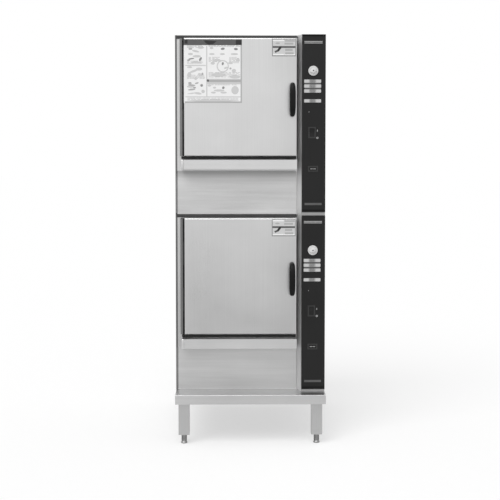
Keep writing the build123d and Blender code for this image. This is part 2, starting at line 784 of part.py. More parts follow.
def rocker(switch, base, tilt):
    """A rocker cut from a round bar, with a shallow V face and two trunnions."""
    tip_reach = PIVOT_DEPTH + 3.5
    dip = 1.5
    heel = 6.0
    trunnion = 2.0
    radius = switch["radius"]
    plane = pivot_plane(switch, base)
    with BuildPart() as piece:
        with BuildSketch(Plane(plane.location * Location((0, 0, 0), (0, 0, tilt)))):
            Circle(radius)
            with BuildLine():
                Polyline(
                    (-heel, -radius), (tip_reach, -radius), (tip_reach - dip, 0),
                    (tip_reach, radius), (-heel, radius), close=True,
                )
            make_face(mode=Mode.INTERSECT)
        extrude(amount=switch["half"], both=True)
        with BuildSketch(plane):
            Circle(TRUNNION_RADIUS)
        extrude(amount=switch["half"] + trunnion, both=True)
    return piece


def rocker_housing(switch, base):
    """Adds a rocker's housing, with a rim on the fascia and a round pocket."""
    wide, tall = rocker_body_size(switch)
    x, z = switch["x"], base + switch["z"]
    rim = 1.5
    rim_width = 2.0
    depth = 30.0
    side_play = 0.2
    socket_depth = 2.2
    rim_low = (x - wide / 2 - rim_width, FASCIA_FACE - rim, z - tall / 2 - rim_width)
    block(rim_low, (x + wide / 2 + rim_width, FASCIA_FACE, z + tall / 2 + rim_width))
    body_low = (x - wide / 2, FASCIA_FACE, z - tall / 2)
    block(body_low, (x + wide / 2, FASCIA_FACE + depth, z + tall / 2))
    plane = pivot_plane(switch, base)
    with BuildSketch(plane) as pocket:
        Circle(switch["radius"] + ROCKER_GAP)
    half = switch["half"] + side_play
    extrude(pocket.sketch, amount=half, both=True, mode=Mode.SUBTRACT)
    with BuildSketch(plane) as socket:
        Circle(TRUNNION_RADIUS + RUNNING_GAP)
    reach = switch["half"] + socket_depth
    extrude(socket.sketch, amount=reach, both=True, mode=Mode.SUBTRACT)


def control_components():
    timer_half = 25.0
    timer_deep = 34.0
    board_x = (222.0, 300.0)
    board_z = (396.0, 526.0)
    board_thick = 2.0
    post_inset = 8.0
    post_radius = 3.0
    relay_x = (240.0, 268.0)
    relay_low_z = 414.0
    relay_pitch = 36.0
    relay_high = 24.0
    relay_deep = 16.0
    inner_face = HOUSING_FACE + SHEET
    board_back = FRONT - 6.0
    board_face = board_back - board_thick
    spindle_bore = SPINDLE_RADIUS + RUNNING_GAP
    spindle_end = FASCIA_FACE + SPINDLE_LENGTH + 0.2
    with BuildPart() as components:
        for base in UNITS.values():
            z = base + KNOB_Z
            low = (KNOB_X - timer_half, inner_face, z - timer_half)
            block(low, (KNOB_X + timer_half, inner_face + timer_deep, z + timer_half))
            bar_y(KNOB_X, inner_face, spindle_end, z, spindle_bore, Mode.SUBTRACT)
            rocker_housing(POWER_ROCKER, base)
            rocker_housing(DELIME_ROCKER, base)
            board_low = (board_x[0], board_face, base + board_z[0])
            block(board_low, (board_x[1], board_back, base + board_z[1]))
            for x in (board_x[0] + post_inset, board_x[1] - post_inset):
                for post_z in (board_z[0] + post_inset, board_z[1] - post_inset):
                    bar_y(x, board_back, FRONT, base + post_z, post_radius)
            for relay in range(3):
                low_z = base + relay_low_z + relay_pitch * relay
                relay_low = (relay_x[0], board_face - relay_deep, low_z)
                block(relay_low, (relay_x[1], board_face, low_z + relay_high))
    return components


def indicator_windows():
    thick = 0.8
    corner = 2.0
    with BuildPart() as windows:
        for base in UNITS.values():
            spots = [(LEGEND_X, z) for z in LEGEND_HEIGHTS]
            with BuildSketch(front_plane(FASCIA_FACE, base)):
                with Locations(*spots):
                    RectangleRounded(*LEGEND_SIZE, corner)
            extrude(amount=thick)
    return windows


# Door with its liner, insulation, gasket, handle and hinge

def door_skin(base):
    with BuildPart() as skin:
        low = (DOOR_LEFT, DOOR_FACE, base + DOOR_BOTTOM)
        high = (DOOR_RIGHT, DOOR_BACK, base + DOOR_TOP)
        block(low, high)
        rim = skin.faces().sort_by(Axis.Y)[0].edges()
        fillet(rim, radius=DOOR_EDGE_RADIUS)
        inner_low = (low[0] + SHEET, low[1] + SHEET, low[2] + SHEET)
        block(inner_low, (high[0] - SHEET, high[1], high[2] - SHEET), Mode.SUBTRACT)
    return skin


def door_liner(base):
    wall = SHEET
    pad_inset = 14.0
    pad_edge = 3.0
    pad_back = FRONT - 4.0
    with BuildPart() as liner:
        low = (DOOR_LEFT + wall, DOOR_BACK - wall, base + DOOR_BOTTOM + wall)
        block(low, (DOOR_RIGHT - wall, DOOR_BACK, base + DOOR_TOP - wall))
        pad_low = (OPEN_LEFT + pad_inset, DOOR_BACK, base + OPEN_BOTTOM + pad_inset)
        pad_high = (OPEN_RIGHT - pad_inset, pad_back, base + OPEN_TOP - pad_inset)
        block(pad_low, pad_high)
        fillet(liner.faces().sort_by(Axis.Y)[-1].edges(), radius=pad_edge)
        hollow_low = (pad_low[0] + wall, DOOR_BACK - wall, pad_low[2] + wall)
        hollow_high = (pad_high[0] - wall, pad_back - wall, pad_high[2] - wall)
        block(hollow_low, hollow_high, Mode.SUBTRACT)
    return liner


def door_insulation(base):
    with BuildPart() as wool:
        inset = SHEET + 3.0
        low = (DOOR_LEFT + inset, DOOR_FACE + SHEET, base + DOOR_BOTTOM + inset)
        high = (DOOR_RIGHT - inset, DOOR_BACK - SHEET, base + DOOR_TOP - inset)
        block(low, high)
    return wool


def door_gasket(base):
    reach = 21.0
    lip = 16.0
    outer_corner = 12.0
    inner_corner = 6.0
    skirt_front = DOOR_FACE + 4.0
    skirt_back = DOOR_FACE + 34.0
    skirt_bottom = TRAY_TOP + 3.0
    open_width = OPEN_RIGHT - OPEN_LEFT
    open_height = OPEN_TOP - OPEN_BOTTOM
    centre = ((OPEN_LEFT + OPEN_RIGHT) / 2, (OPEN_BOTTOM + OPEN_TOP) / 2)
    seal_face = FRONT - 0.3
    with BuildPart() as gasket:
        with BuildSketch(front_plane(seal_face, base)):
            with Locations(centre):
                RectangleRounded(open_width + 2 * reach, open_height + 2 * reach, outer_corner)
                inside = reach - lip
                wide = open_width + 2 * inside
                tall = open_height + 2 * inside
                RectangleRounded(wide, tall, inner_corner, mode=Mode.SUBTRACT)
        extrude(amount=seal_face - DOOR_BACK)
        skirt_low = (DOOR_LEFT + 1, skirt_front, base + skirt_bottom)
        block(skirt_low, (DOOR_RIGHT - 1, skirt_back, base + DOOR_BOTTOM))
    return gasket


def door_handle(base):
    """A bowed grip, wider in its middle, with both ends on the door face."""
    low, high = base + HANDLE_BOTTOM, base + HANDLE_TOP
    grip = DOOR_FACE - HANDLE_STANDOFF
    grip_back = grip + 15.0
    end_half = 9.5
    outer_slope = 16.0
    outer_bend = 24.0
    foot = 22.0
    inner_slope = 32.0
    inner_bend = 14.0
    middle_half = HANDLE_WIDE / 2
    with BuildPart() as handle:
        with BuildSketch(Plane.YZ.offset(HANDLE_X - middle_half)):
            with BuildLine():
                FilletPolyline(
                    (DOOR_FACE, low), (grip, low + outer_slope),
                    (grip, high - outer_slope), (DOOR_FACE, high), radius=outer_bend,
                )
                Line((DOOR_FACE, high), (DOOR_FACE, low))
            make_face()
            with BuildLine():
                FilletPolyline(
                    (DOOR_FACE, low + foot), (grip_back, low + inner_slope),
                    (grip_back, high - inner_slope), (DOOR_FACE, high - foot),
                    radius=inner_bend,
                )
                Line((DOOR_FACE, high - foot), (DOOR_FACE, low + foot))
            make_face(mode=Mode.SUBTRACT)
        extrude(amount=HANDLE_WIDE)
        middle = (low + high) / 2
        left, right = HANDLE_X - end_half, HANDLE_X + end_half
        with BuildSketch(front_plane(DOOR_FACE, 0)):
            with BuildLine():
                ThreePointArc((left, low), (HANDLE_X - middle_half, middle), (left, high))
                Line((left, high), (right, high))
                ThreePointArc((right, high), (HANDLE_X + middle_half, middle), (right, low))
                Line((right, low), (left, low))
            make_face()
        extrude(amount=HANDLE_STANDOFF, mode=Mode.INTERSECT)
    return handle


def knuckle_spans(base):
    """Lower and upper end of each hinge knuckle, from the bottom up."""
    end_inset = 2.0
    gap = 0.2
    low = base + DOOR_BOTTOM + end_inset
    pitch = (DOOR_TOP - DOOR_BOTTOM - 2 * end_inset) / KNUCKLES
    return [(low + n * pitch + gap, low + (n + 1) * pitch - gap) for n in range(KNUCKLES)]


def frame_hinge_leaves():
    foot_width = 15.0
    clear = 0.4
    left = HINGE_X - KNUCKLE_RADIUS
    with BuildPart() as leaves:
        for base in UNITS.values():
            spans = knuckle_spans(base)
            bottom, top = spans[0][0], spans[-1][1]
            block((left, HINGE_Y, bottom), (left + LEAF, FRONT, top))
            block((left, FRONT - LEAF, bottom), (left + foot_width, FRONT, top))
            for low, high in spans[1::2]:
                radius = KNUCKLE_RADIUS + clear
                bar_z(HINGE_X, HINGE_Y, low - clear, high + clear, radius, Mode.SUBTRACT)
            for low, high in spans[0::2]:
                bar_z(HINGE_X, HINGE_Y, low, high, KNUCKLE_RADIUS)
                bar_z(HINGE_X, HINGE_Y, low, high, PIN_RADIUS + 0.02, Mode.SUBTRACT)
        for base in UNITS.values():
            spans = knuckle_spans(base)
            bar_z(HINGE_X, HINGE_Y, spans[0][0], spans[-1][1], PIN_RADIUS)
    return leaves


def door_hinge_leaf(base):
    front = DOOR_FACE + 5.0
    back = DOOR_BACK - 3.0
    web_half = 1.0
    with BuildPart() as piece:
        spans = knuckle_spans(base)
        bottom, top = spans[0][0], spans[-1][1]
        block((DOOR_LEFT - LEAF, front, bottom), (DOOR_LEFT, back, top))
        for low, high in spans[1::2]:
            bar_z(HINGE_X, HINGE_Y, low, high, KNUCKLE_RADIUS)
            web_low = (HINGE_X, HINGE_Y - web_half, low)
            block(web_low, (DOOR_LEFT - LEAF, HINGE_Y + web_half, high))
            bar_z(HINGE_X, HINGE_Y, low, high, PIN_RADIUS + RUNNING_GAP, Mode.SUBTRACT)
    return piece


def door_catches():
    body_half_height = 22.0
    body_deep = 6.0
    left = OPEN_RIGHT + 26.0
    right = OPEN_RIGHT + 39.0
    roller_half = 14.0
    roller_radius = 3.0
    front = FRONT - body_deep
    with BuildPart() as catches:
        for base in UNITS.values():
            middle = base + (HANDLE_BOTTOM + HANDLE_TOP) / 2
            low = (left, front, middle - body_half_height)
            block(low, (right, FRONT, middle + body_half_height))
            x = (left + right) / 2
            bar_z(x, front, middle - roller_half, middle + roller_half, roller_radius)
    return catches


def drip_tray(base):
    bottom_bend = 5.0
    back = FRONT - 2.5
    with BuildPart() as tray:
        low = (DOOR_LEFT - 1.0, TRAY_FACE, base + TRAY_BOTTOM)
        high = (DOOR_RIGHT, back, base + TRAY_TOP)
        block(low, high)
        floor = tray.faces().sort_by(Axis.Z)[0]
        fillet(floor.edges().filter_by(Axis.X), radius=bottom_bend)
        inner_low = tuple(a + SHEET for a in low)
        block(inner_low, (high[0] - SHEET, high[1] - SHEET, high[2]), Mode.SUBTRACT)
    return tray


os.makedirs("parts", exist_ok=True)

save(stand_shelf(), "stand_shelf")
save(stand_legs(), "stand_legs")
for row, leg_y in LEG_ROWS.items():
    save(levelling_foot(-LEG_X, leg_y), f"{row}_left_foot")
    save(levelling_foot(LEG_X, leg_y), f"{row}_right_foot")

UNIT_PIECES = {
    "base_pan": base_pan,
    "side_panels": side_panels,
    "top_cover": top_cover,
    "rear_panel": rear_panel,
    "front_frame": front_frame,
    "steam_cavity": steam_cavity,
    "pan_racks": pan_racks,
    "blower_wheel": blower_wheel,
    "control_housing": control_housing,
    "control_fascia": control_fascia,
    "timer_knob": timer_knob,
    "door_skin": door_skin,
    "door_liner": door_liner,
    "door_insulation": door_insulation,
    "door_gasket": door_gasket,
    "door_handle": door_handle,
    "door_hinge_leaf": door_hinge_leaf,
    "drip_tray": drip_tray,
}
for unit, unit_base in UNITS.items():
    for piece_name, make in UNIT_PIECES.items():
        save(make(unit_base), f"{unit}_{piece_name}")
    save(rocker(POWER_ROCKER, unit_base, POWER_TILT), f"{unit}_power_rocker")
    save(rocker(DELIME_ROCKER, unit_base, 0), f"{unit}_delime_rocker")

SHARED_PIECES = {
    "service_panels": service_panels,
    "panel_screws": panel_screws,
    "cavity_insulation": cavity_insulation,
    "fan_baffles": fan_baffles,
    "blower_motors": blower_motors,
    "steam_generators": steam_generators,
    "heating_elements": heating_elements,
    "plumbing_pipes": plumbing_pipes,
    "water_inlet_valves": water_inlet_valves,
    "supply_glands": supply_glands,
    "control_components": control_components,
    "indicator_windows": indicator_windows,
    "frame_hinge_leaves": frame_hinge_leaves,
    "door_catches": door_catches,
}
for piece_name, make in SHARED_PIECES.items():
    save(make(), piece_name)
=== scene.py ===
import math
import random

import bmesh
import bpy
from mathutils import Matrix, Vector


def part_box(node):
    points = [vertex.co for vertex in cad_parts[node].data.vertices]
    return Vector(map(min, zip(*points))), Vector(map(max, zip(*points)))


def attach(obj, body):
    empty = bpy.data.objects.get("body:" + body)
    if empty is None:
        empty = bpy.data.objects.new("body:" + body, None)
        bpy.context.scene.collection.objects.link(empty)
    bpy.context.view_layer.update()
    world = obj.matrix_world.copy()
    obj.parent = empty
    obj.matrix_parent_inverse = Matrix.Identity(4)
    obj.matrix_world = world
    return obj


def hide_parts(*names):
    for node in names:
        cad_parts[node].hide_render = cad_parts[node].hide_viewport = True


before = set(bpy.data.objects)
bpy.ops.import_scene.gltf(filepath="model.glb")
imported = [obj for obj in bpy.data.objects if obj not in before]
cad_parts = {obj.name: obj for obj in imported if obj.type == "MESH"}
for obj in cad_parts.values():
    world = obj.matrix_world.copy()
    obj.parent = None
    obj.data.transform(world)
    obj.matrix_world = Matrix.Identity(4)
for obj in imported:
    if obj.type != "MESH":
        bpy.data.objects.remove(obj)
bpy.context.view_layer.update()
unit_base = {unit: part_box(unit + "_base_pan")[0].z for unit in ("lower", "upper")}

# Camera. It stands 4.8 m in front of the doors, just above the joint between the two
# cabinets, turned a little to the right and down.
sight = bpy.data.cameras.new("camera")
sight.lens = 83.52
sight.sensor_width = 36.0
sight.shift_y = -0.045
camera = bpy.data.objects.new("camera", sight)
camera.location = (-0.080, -5.110, 1.165)
camera.rotation_euler = (math.radians(90.0 - 3.4), 0.0, -math.atan(80 / 4800))
bpy.context.collection.objects.link(camera)
bpy.context.scene.camera = camera
bpy.context.scene.view_settings.view_transform = "Standard"


# Studio. A pale floor without an end and a white surround, lit softly from the upper left
# in front, and a grey card on the floor that only the steel's reflections see.
class Wire:
    """One output in a node tree. Sums on it add Math nodes, and node() adds any other kind."""

    def __init__(self, tree, socket=None):
        self.tree = tree
        self.socket = socket

    def node(self, kind, settings=None, inputs=None, output=0):
        made = self.tree.nodes.new(kind)
        for label, value in (settings or {}).items():
            setattr(made, label, value)
        for label, value in (inputs or {}).items():
            self.feed(made.inputs[label], value)
        return Wire(self.tree, made.outputs[output] if made.outputs else None)

    def feed(self, socket, value):
        """Links a wire to a socket, or sets the socket to a plain value."""
        if isinstance(value, Wire):
            self.tree.links.new(value.socket, socket)
        elif isinstance(value, (int, float)) and socket.type == "RGBA":
            socket.default_value = (value, value, value, 1)
        else:
            socket.default_value = value

    def other(self, label):
        """Another output of the same node."""
        return Wire(self.tree, self.socket.node.outputs[label])

    def math(self, operation, *values):
        return self.node("ShaderNodeMath", {"operation": operation}, dict(enumerate(values)))

    def mix(self, low, high):
        """The first colour where this wire is 0 and the second where it is 1."""
        settings = {"data_type": "RGBA"}
        return self.node("ShaderNodeMix", settings, {0: self, 6: low, 7: high}, 2)

    def __add__(self, value):
        return self.math("ADD", self, value)

    def __sub__(self, value):
        return self.math("SUBTRACT", self, value)

    def __rsub__(self, value):
        return self.math("SUBTRACT", value, self)

    def __mul__(self, value):
        return self.math("MULTIPLY", self, value)

    __radd__, __rmul__ = __add__, __mul__


def seen_ray(tree):
    """1 for what the camera sees itself, in metal or through glass, and 0 for plain light."""
    ray = Wire(tree).node("ShaderNodeLightPath")
    seen = ray.other("Is Camera Ray") + ray.other("Is Glossy Ray")
    seen = seen + ray.other("Is Transmission Ray")
    return seen.math("MINIMUM", seen, 1.0)


SOFT_LIGHT = 0.62
surround = bpy.data.worlds.new("surround")
surround.use_nodes = True
seen = seen_ray(surround.node_tree)
sky = surround.node_tree.nodes["Background"]
seen.feed(sky.inputs["Color"], (1, 1, 1, 1))
seen.feed(sky.inputs["Strength"], seen * (1 - SOFT_LIGHT) + SOFT_LIGHT)
bpy.context.scene.world = surround


def make_material(name, sockets_of):
    """A material whose shader's sockets come from sockets_of, given the Object coordinates."""
    made = bpy.data.materials.new(name)
    made.use_nodes = True
    place = Wire(made.node_tree).node("ShaderNodeTexCoord").other("Object")
    for label, value in sockets_of(place).items():
        place.feed(made.node_tree.nodes["Principled BSDF"].inputs[label], value)
    return made


def studio_sheet(name, low, high, material):
    """A flat sheet on the floor, turned up."""
    corners = [(low[0], low[1]), (high[0], low[1]), (high[0], high[1]), (low[0], high[1])]
    sheet = bpy.data.meshes.new(name)
    sheet.from_pydata([(x, y, low[2]) for x, y in corners], [], [(0, 1, 2, 3)])
    sheet.materials.append(material)
    lying = bpy.data.objects.new(name, sheet)
    bpy.context.collection.objects.link(lying)
    return lying


def floor_paper(place):
    seen = seen_ray(place.tree)
    return {
        "Base Color": seen.mix(0.80, 0.50),
        "Roughness": 1.0,
        "Specular IOR Level": 0.0,
        "Emission Color": seen.mix(0.0, 0.50),
        "Emission Strength": 1.0,
    }


def grey_card(place):
    return {"Base Color": 0.56, "Roughness": 1.0, "Specular IOR Level": 0.0}


studio_sheet("floor", (-60, -60, 0), (60, 60, 0), make_material("floor_paper", floor_paper))
card = studio_sheet("grey_card", (-2.5, -7.5, 0.004), (2.5, -1.5, 0.004),
                    make_material("grey_card", grey_card))
card.visible_camera = False
card.visible_diffuse = False
card.visible_shadow = False

lamp = bpy.data.lights.new("soft_sun", "SUN")
lamp.energy = 1.55
lamp.angle = math.radians(45)
key = bpy.data.objects.new("soft_sun", lamp)
key.rotation_euler = (math.radians(40), 0.0, math.radians(-25))
bpy.context.collection.objects.link(key)


# Stand shelf. A tray of folded stainless sheet with a deep skirt, brushed along its width.
# The lower cabinet stands in it, and the legs' plates are welded under it.
def noise(place, cells, detail=2.0):
    """Noise from 0 to 1, with so many cells to the metre along each axis, or along all."""
    cells = cells if isinstance(cells, (tuple, list)) else (cells,) * 3
    place = place.node("ShaderNodeVectorMath", {"operation": "MULTIPLY"}, {0: place, 1: cells})
    return place.node("ShaderNodeTexNoise", {}, {"Vector": place, "Scale": 1.0, "Detail": detail})


def dented(place, height, strength, depth):
    """The surface's normal, dented by a height."""
    dents = {"Height": height, "Strength": strength, "Distance": depth}
    return place.node("ShaderNodeBump", {}, dents)


def brushed_steel(name, tone, grain, gloss=0.30, darkening=None, ripple=0.0):
    """Sheet steel brushed along one axis, with soft smears and a faint wave in the sheet."""
    def sockets(place):
        fine = noise(place, [9 if axis == grain else 1400 for axis in "xyz"], 3.0)
        scratch = noise(place, [2.2 if axis == grain else 260 for axis in "xyz"])
        smear = noise(place, (4.1, 3.7, 5.3), 3.0)
        wave = noise(place, (2.3, 2.0, 3.1), 1.0)
        shade = (smear - 0.5) * 0.10 + (scratch - 0.5) * 0.05 + 0.5
        # darkening, where a piece gives it, multiplies the colour: painted shade, painted light or a joint
        # line, as each piece's own function says.
        if darkening:
            shade = shade * darkening(place)
        height = wave * 4.0 + fine * 0.05 + scratch * 0.04
        if ripple:
            roll = noise(place, (2.4, 2.0, 34.0), 3.0)
            height = height + roll * ripple
            # Painted shading of the waves: the colour gets lighter and darker with the same noise as their
            # bump.
            shade = shade * (1.0 + (roll - 0.5) * 0.30)
        return {
            "Base Color": shade.mix(0.0, 2 * tone),
            "Metallic": 1.0,
            "Roughness": gloss + (smear - 0.5) * 0.12 + (fine - 0.5) * 0.08,
            "Normal": dented(place, height, 0.35, 0.002),
        }
    return make_material(name, sockets)


def dress(material, *names):
    """Gives CAD solids their finish."""
    for name in names:
        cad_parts[name].material_slots[0].material = material


def both(part):
    return ["lower_" + part, "upper_" + part]


dress(brushed_steel("shelf_steel", 0.56, "x"), "stand_shelf")


# Weld beads. The fitter runs a bead round each leg where it meets its plate.
# The bead is a row of overlapping ripples, as a hand-held torch leaves them.
def start_tree(name, sizes):
    """A node tree for a shape that repeats, with a named input for each size."""
    tree = bpy.data.node_groups.new(name, "GeometryNodeTree")
    tree.interface.new_socket("Geometry", in_out="INPUT", socket_type="NodeSocketGeometry")
    tree.interface.new_socket("Geometry", in_out="OUTPUT", socket_type="NodeSocketGeometry")
    for label, kind in sizes.items():
        tree.interface.new_socket(label, in_out="INPUT", socket_type="NodeSocket" + kind)
    return Wire(tree).node("NodeGroupInput")


def end_tree(shape, entry):
    """Ends a tree: the copies become plain mesh, and the mesh gets its material."""
    solid = shape.node("GeometryNodeRealizeInstances", {}, {0: shape})
    done = shape.node("GeometryNodeSetMaterial", {},
                      {"Geometry": solid, "Material": entry.other("Finish")})
    done.node("NodeGroupOutput", {}, {0: done})
    return shape.tree


def grow(name, tree, mesh, **sizes):
    """Runs a tree on a mesh and returns the result as a plain mesh."""
    worker = bpy.data.objects.new(name, mesh)
    bpy.context.collection.objects.link(worker)
    modifier = worker.modifiers.new("grow", "NODES")
    modifier.node_group = tree
    for item in tree.interface.items_tree:
        if item.item_type == "SOCKET" and item.name.lower() in sizes:
            modifier[item.identifier] = sizes[item.name.lower()]
    graph = bpy.context.evaluated_depsgraph_get()
    grown = bpy.data.meshes.new_from_object(worker.evaluated_get(graph))
    worker.modifiers.remove(modifier)
    bpy.data.objects.remove(worker)
    return grown


def settle(name, mesh, body, material=None, sharp=35.0, replaced=()):
    """Makes a finished mesh a piece that moves with a body."""
    if material:
        mesh.materials.clear()
        mesh.materials.append(material)
    mesh.shade_smooth()
    mesh.set_sharp_from_angle(angle=math.radians(sharp))
    piece = bpy.data.objects.new(name, mesh)
    bpy.context.collection.objects.link(piece)
    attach(piece, body)
    if replaced:
        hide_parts(*replaced)


def mottled(cells, detail, dark, pale, gloss, spread, grain=None, metal=1.0, shine=0.5):
    """A finish clouded between two tones, its gloss with them. grain gives the cells of its
    fine texture, how strongly that shows and how deep it is."""
    def sockets(place):
        cloud = noise(place, cells, detail)
        made = {
            "Base Color": cloud.mix(dark, pale),
            "Roughness": gloss + cloud * spread if spread else gloss,
            "Metallic": metal,
            "Specular IOR Level": shine,
        }
        if grain:
            made["Normal"] = dented(place, noise(place, grain[0]), *grain[1:])
        return made
    return sockets


entry = start_tree("weld_bead", {"Ripple": "Float", "Width": "Float", "Finish": "Material"})
seam = entry.node("GeometryNodeMeshToCurve", {}, {0: entry})
seam = entry.node("GeometryNodeResampleCurve", {"mode": "LENGTH"},
                  {"Curve": seam, "Length": entry.other("Ripple")})
drop = entry.node("GeometryNodeMeshIcoSphere", {}, {"Radius": 1.0, "Subdivisions": 1})
spread = entry.node("FunctionNodeRandomValue", {"data_type": "FLOAT"}, {2: 0.42, 3: 0.54, "Seed": 7}, 1)
weld_bead = end_tree(entry.node("GeometryNodeInstanceOnPoints", {}, {
    "Points": seam, "Instance": drop, "Scale": spread * entry.other("Width")}), entry)
weld_finish = make_material("weld_steel", mottled(90, 3.0, 0.30, 0.56, 0.34, 0.2, (900, 0.3, 0.0005)))


def weld(name, loops, ripple, width):
    """Runs a bead along each closed loop of corners."""
    points, edges = [], []
    for loop in loops:
        start = len(points)
        points += loop
        edges += [(start + i, start + (i + 1) % len(loop)) for i in range(len(loop))]
    path = bpy.data.meshes.new(name)
    path.from_pydata(points, edges, [])
    beads = grow(name, weld_bead, path, ripple=ripple, width=width, finish=weld_finish)
    settle(name, beads, "cabinet", None, 60)


leg_low, leg_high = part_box("stand_legs")
LEG_INSET = 0.066 / 2
LEG_SIZE = 0.045
LEG_PLATE = 0.004
SQUARE = [(-1, -1), (1, -1), (1, 1), (-1, 1)]
half = LEG_SIZE / 2 + 0.0004
loops = [[(x + half * a, y + half * b, leg_high.z - LEG_PLATE - 0.0006) for a, b in SQUARE]
         for x in (leg_low.x + LEG_INSET, leg_high.x - LEG_INSET)
         for y in (leg_low.y + LEG_INSET, leg_high.y - LEG_INSET)]
weld("leg_weld_beads", loops, 0.0022, 0.0062)
dress(brushed_steel("leg_steel", 0.46, "z"), "stand_legs")


# Levelling feet. A plated round foot turned from bar, with a flared pad and a knurled grip,
# screwed into the leg on a threaded stem that shows just under it.
def block(shape, low, high, rounding=0.0, steps=2):
    """A box with its edges rounded off."""
    size = Vector(high) - Vector(low)
    middle = (Vector(high) + Vector(low)) / 2
    place = Matrix.Translation(middle) @ Matrix.Diagonal((*size, 1))
    made = bmesh.ops.create_cube(shape, size=1.0, matrix=place)["verts"]
    if rounding:
        edges = {edge for corner in made for edge in corner.link_edges}
        bmesh.ops.bevel(shape, geom=list(edges), offset=rounding, segments=steps,
                        affect="EDGES", profile=0.5)


def one_block(name, low, high, rounding=0.0, steps=2):
    shape = bmesh.new()
    block(shape, low, high, rounding, steps)
    return to_mesh(name, shape)


def turns(steps, first=0.0):
    """So many even steps of a whole turn."""
    return [first + 2 * math.pi * step / steps for step in range(steps)]


def lathe(shape, profile, place=Matrix.Identity(4), steps=32):
    """A closed turned solid. The profile gives (radius, height) from the lower to the upper pole."""
    rings = []
    for radius, height in profile:
        around = [(radius * math.cos(a), radius * math.sin(a), height) for a in turns(steps)]
        points = around if radius else [(0, 0, height)]
        rings.append([shape.verts.new(place @ Vector(point)) for point in points])
    for low, high in zip(rings, rings[1:]):
        for step in range(steps):
            after = (step + 1) % steps
            corners = [low[step % len(low)], low[after % len(low)],
                       high[after % len(high)], high[step % len(high)]]
            shape.faces.new(list(dict.fromkeys(corners)))


def to_mesh(name, shape):
    """Turns the shape's faces outwards and makes it a mesh."""
    bmesh.ops.recalc_face_normals(shape, faces=shape.faces)
    mesh = bpy.data.meshes.new(name)
    shape.to_mesh(mesh)
    shape.free()
    return mesh


entry = start_tree("copies", {"Item": "Object", "Spread": "Float", "Finish": "Material"})
item = entry.node("GeometryNodeObjectInfo", {}, {"Object": entry.other("Item")}, "Geometry")
turn = entry.node("GeometryNodeInputNamedAttribute", {"data_type": "FLOAT_VECTOR"}, {"Name": "turn"})
facing = entry.node("FunctionNodeEulerToRotation", {}, {0: turn})
size = entry.node("FunctionNodeRandomValue", {"data_type": "FLOAT"},
                  {2: 1.0 - entry.other("Spread"), 3: 1.0, "Seed": 5}, 1)
copies_tree = end_tree(entry.node("GeometryNodeInstanceOnPoints", {}, {
    "Points": entry, "Instance": item, "Rotation": facing, "Scale": size}), entry)


def copies(name, item, places, finish, body, sharp=35.0, spread=0.0, replaced=()):
    """A piece with a copy of item at each place, which is a point and its turn about X, Y and Z."""
    mesh = bpy.data.meshes.new(name)
    mesh.from_pydata([point for point, turn in places], [], [])
    facing = mesh.attributes.new("turn", "FLOAT_VECTOR", "POINT")
    facing.data.foreach_set("vector", [angle for point, turn in places for angle in turn])
    sample = bpy.data.objects.new(name + "_item", item)
    bpy.context.collection.objects.link(sample)
    made = grow(name, copies_tree, mesh, item=sample, spread=spread, finish=finish)
    bpy.data.objects.remove(sample)
    settle(name, made, body, None, sharp, replaced)


plated_steel = mottled(60, 4.0, 0.42, 0.62, 0.26, 0.22, (700, 0.15, 0.0004))
foot_finish = make_material("foot_steel", lambda place: {
    **plated_steel(place), "Base Color": noise(place, 70, 3.0).mix(0.22, 0.36)})
THREAD_PITCH = 0.0015
STEM = 0.006
NECK = 0.0366
GRIP_MIDDLE = 0.0215
for foot in [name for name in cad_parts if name.endswith("_foot")]:
    low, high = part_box(foot)
    x, y = (low.x + high.x) / 2, (low.y + high.y) / 2
    pad = high.x - x
    grip = pad * 0.80
    profile = [(0, 0), (pad - 0.0015, 0), (pad - 0.0004, 0.0006), (pad, 0.002), (pad, 0.0045),
               (pad - 0.0008, 0.0056), (grip + 0.0008, 0.0086), (grip, 0.0100), (grip, 0.0330),
               (grip - 0.0006, 0.0352), (grip - 0.0022, 0.0364), (STEM + 0.0020, NECK)]
    height = NECK
    while height < high.z - 0.003:
        profile += [(STEM - 0.0006, height), (STEM, height + THREAD_PITCH / 2)]
        height += THREAD_PITCH
    profile += [(STEM - 0.0012, high.z), (0, high.z)]
    shape = bmesh.new()
    lathe(shape, profile, Matrix.Translation((x, y, 0)), 40)
    turned_foot = to_mesh(foot + "_turned", shape)
    settle(foot + "_turned", turned_foot, foot, foot_finish, 30, (foot,))
    ridge = one_block("ridge", (-0.0004, -0.0003, -0.0105), (0.0004, 0.0003, 0.0105), 0.0002, 1)
    reach = grip + 0.0002
    places = [((x + reach * math.cos(a), y + reach * math.sin(a), GRIP_MIDDLE), (0, 0, a))
              for a in turns(48)]
    copies(foot + "_knurl", ridge, places, foot_finish, foot)

# Cabinet shell. Pans, sides, covers and rear panels of stainless sheet, folded and screwed
# together. The sides are brushed upright, the pans and covers front to back.
JOINT = unit_base["upper"]
# ROLL_X and ROLL_Y bound the rolled front corners, whose colour is painted darker as shade.
ROLL_X = 0.2965, 0.3000
ROLL_Y = -0.3050, -0.3020


def across(place):
    """The X, Y and Z of a place."""
    x = place.node("ShaderNodeSeparateXYZ", {}, {0: place})
    return x, x.other("Y"), x.other("Z")


def rise(value, low, high):
    """0 below low, 1 above high and a ramp between them."""
    return value.node("ShaderNodeMapRange", {}, {"Value": value, "From Min": low, "From Max": high})


def side_shade_and_joint(place):
    """Painted shade on the rolled front corners, and a dark line where one cabinet stands on the other."""
    x, y, z = across(place)
    corner = rise(x.math("ABSOLUTE", x), *ROLL_X) * (1.0 - rise(y, *ROLL_Y))
    off_joint = rise((z - JOINT).math("ABSOLUTE", z - JOINT), 0.0006, 0.0012)
    return (1.0 - corner * 0.70) * (off_joint * 0.75 + 0.25)


side_finish = brushed_steel("side_steel", 0.58, "z", 0.32, side_shade_and_joint)
dress(side_finish, *both("side_panels"), *both("rear_panel"))
dress(brushed_steel("cover_steel", 0.62, "y", 0.32), *both("top_cover"), *both("base_pan"))

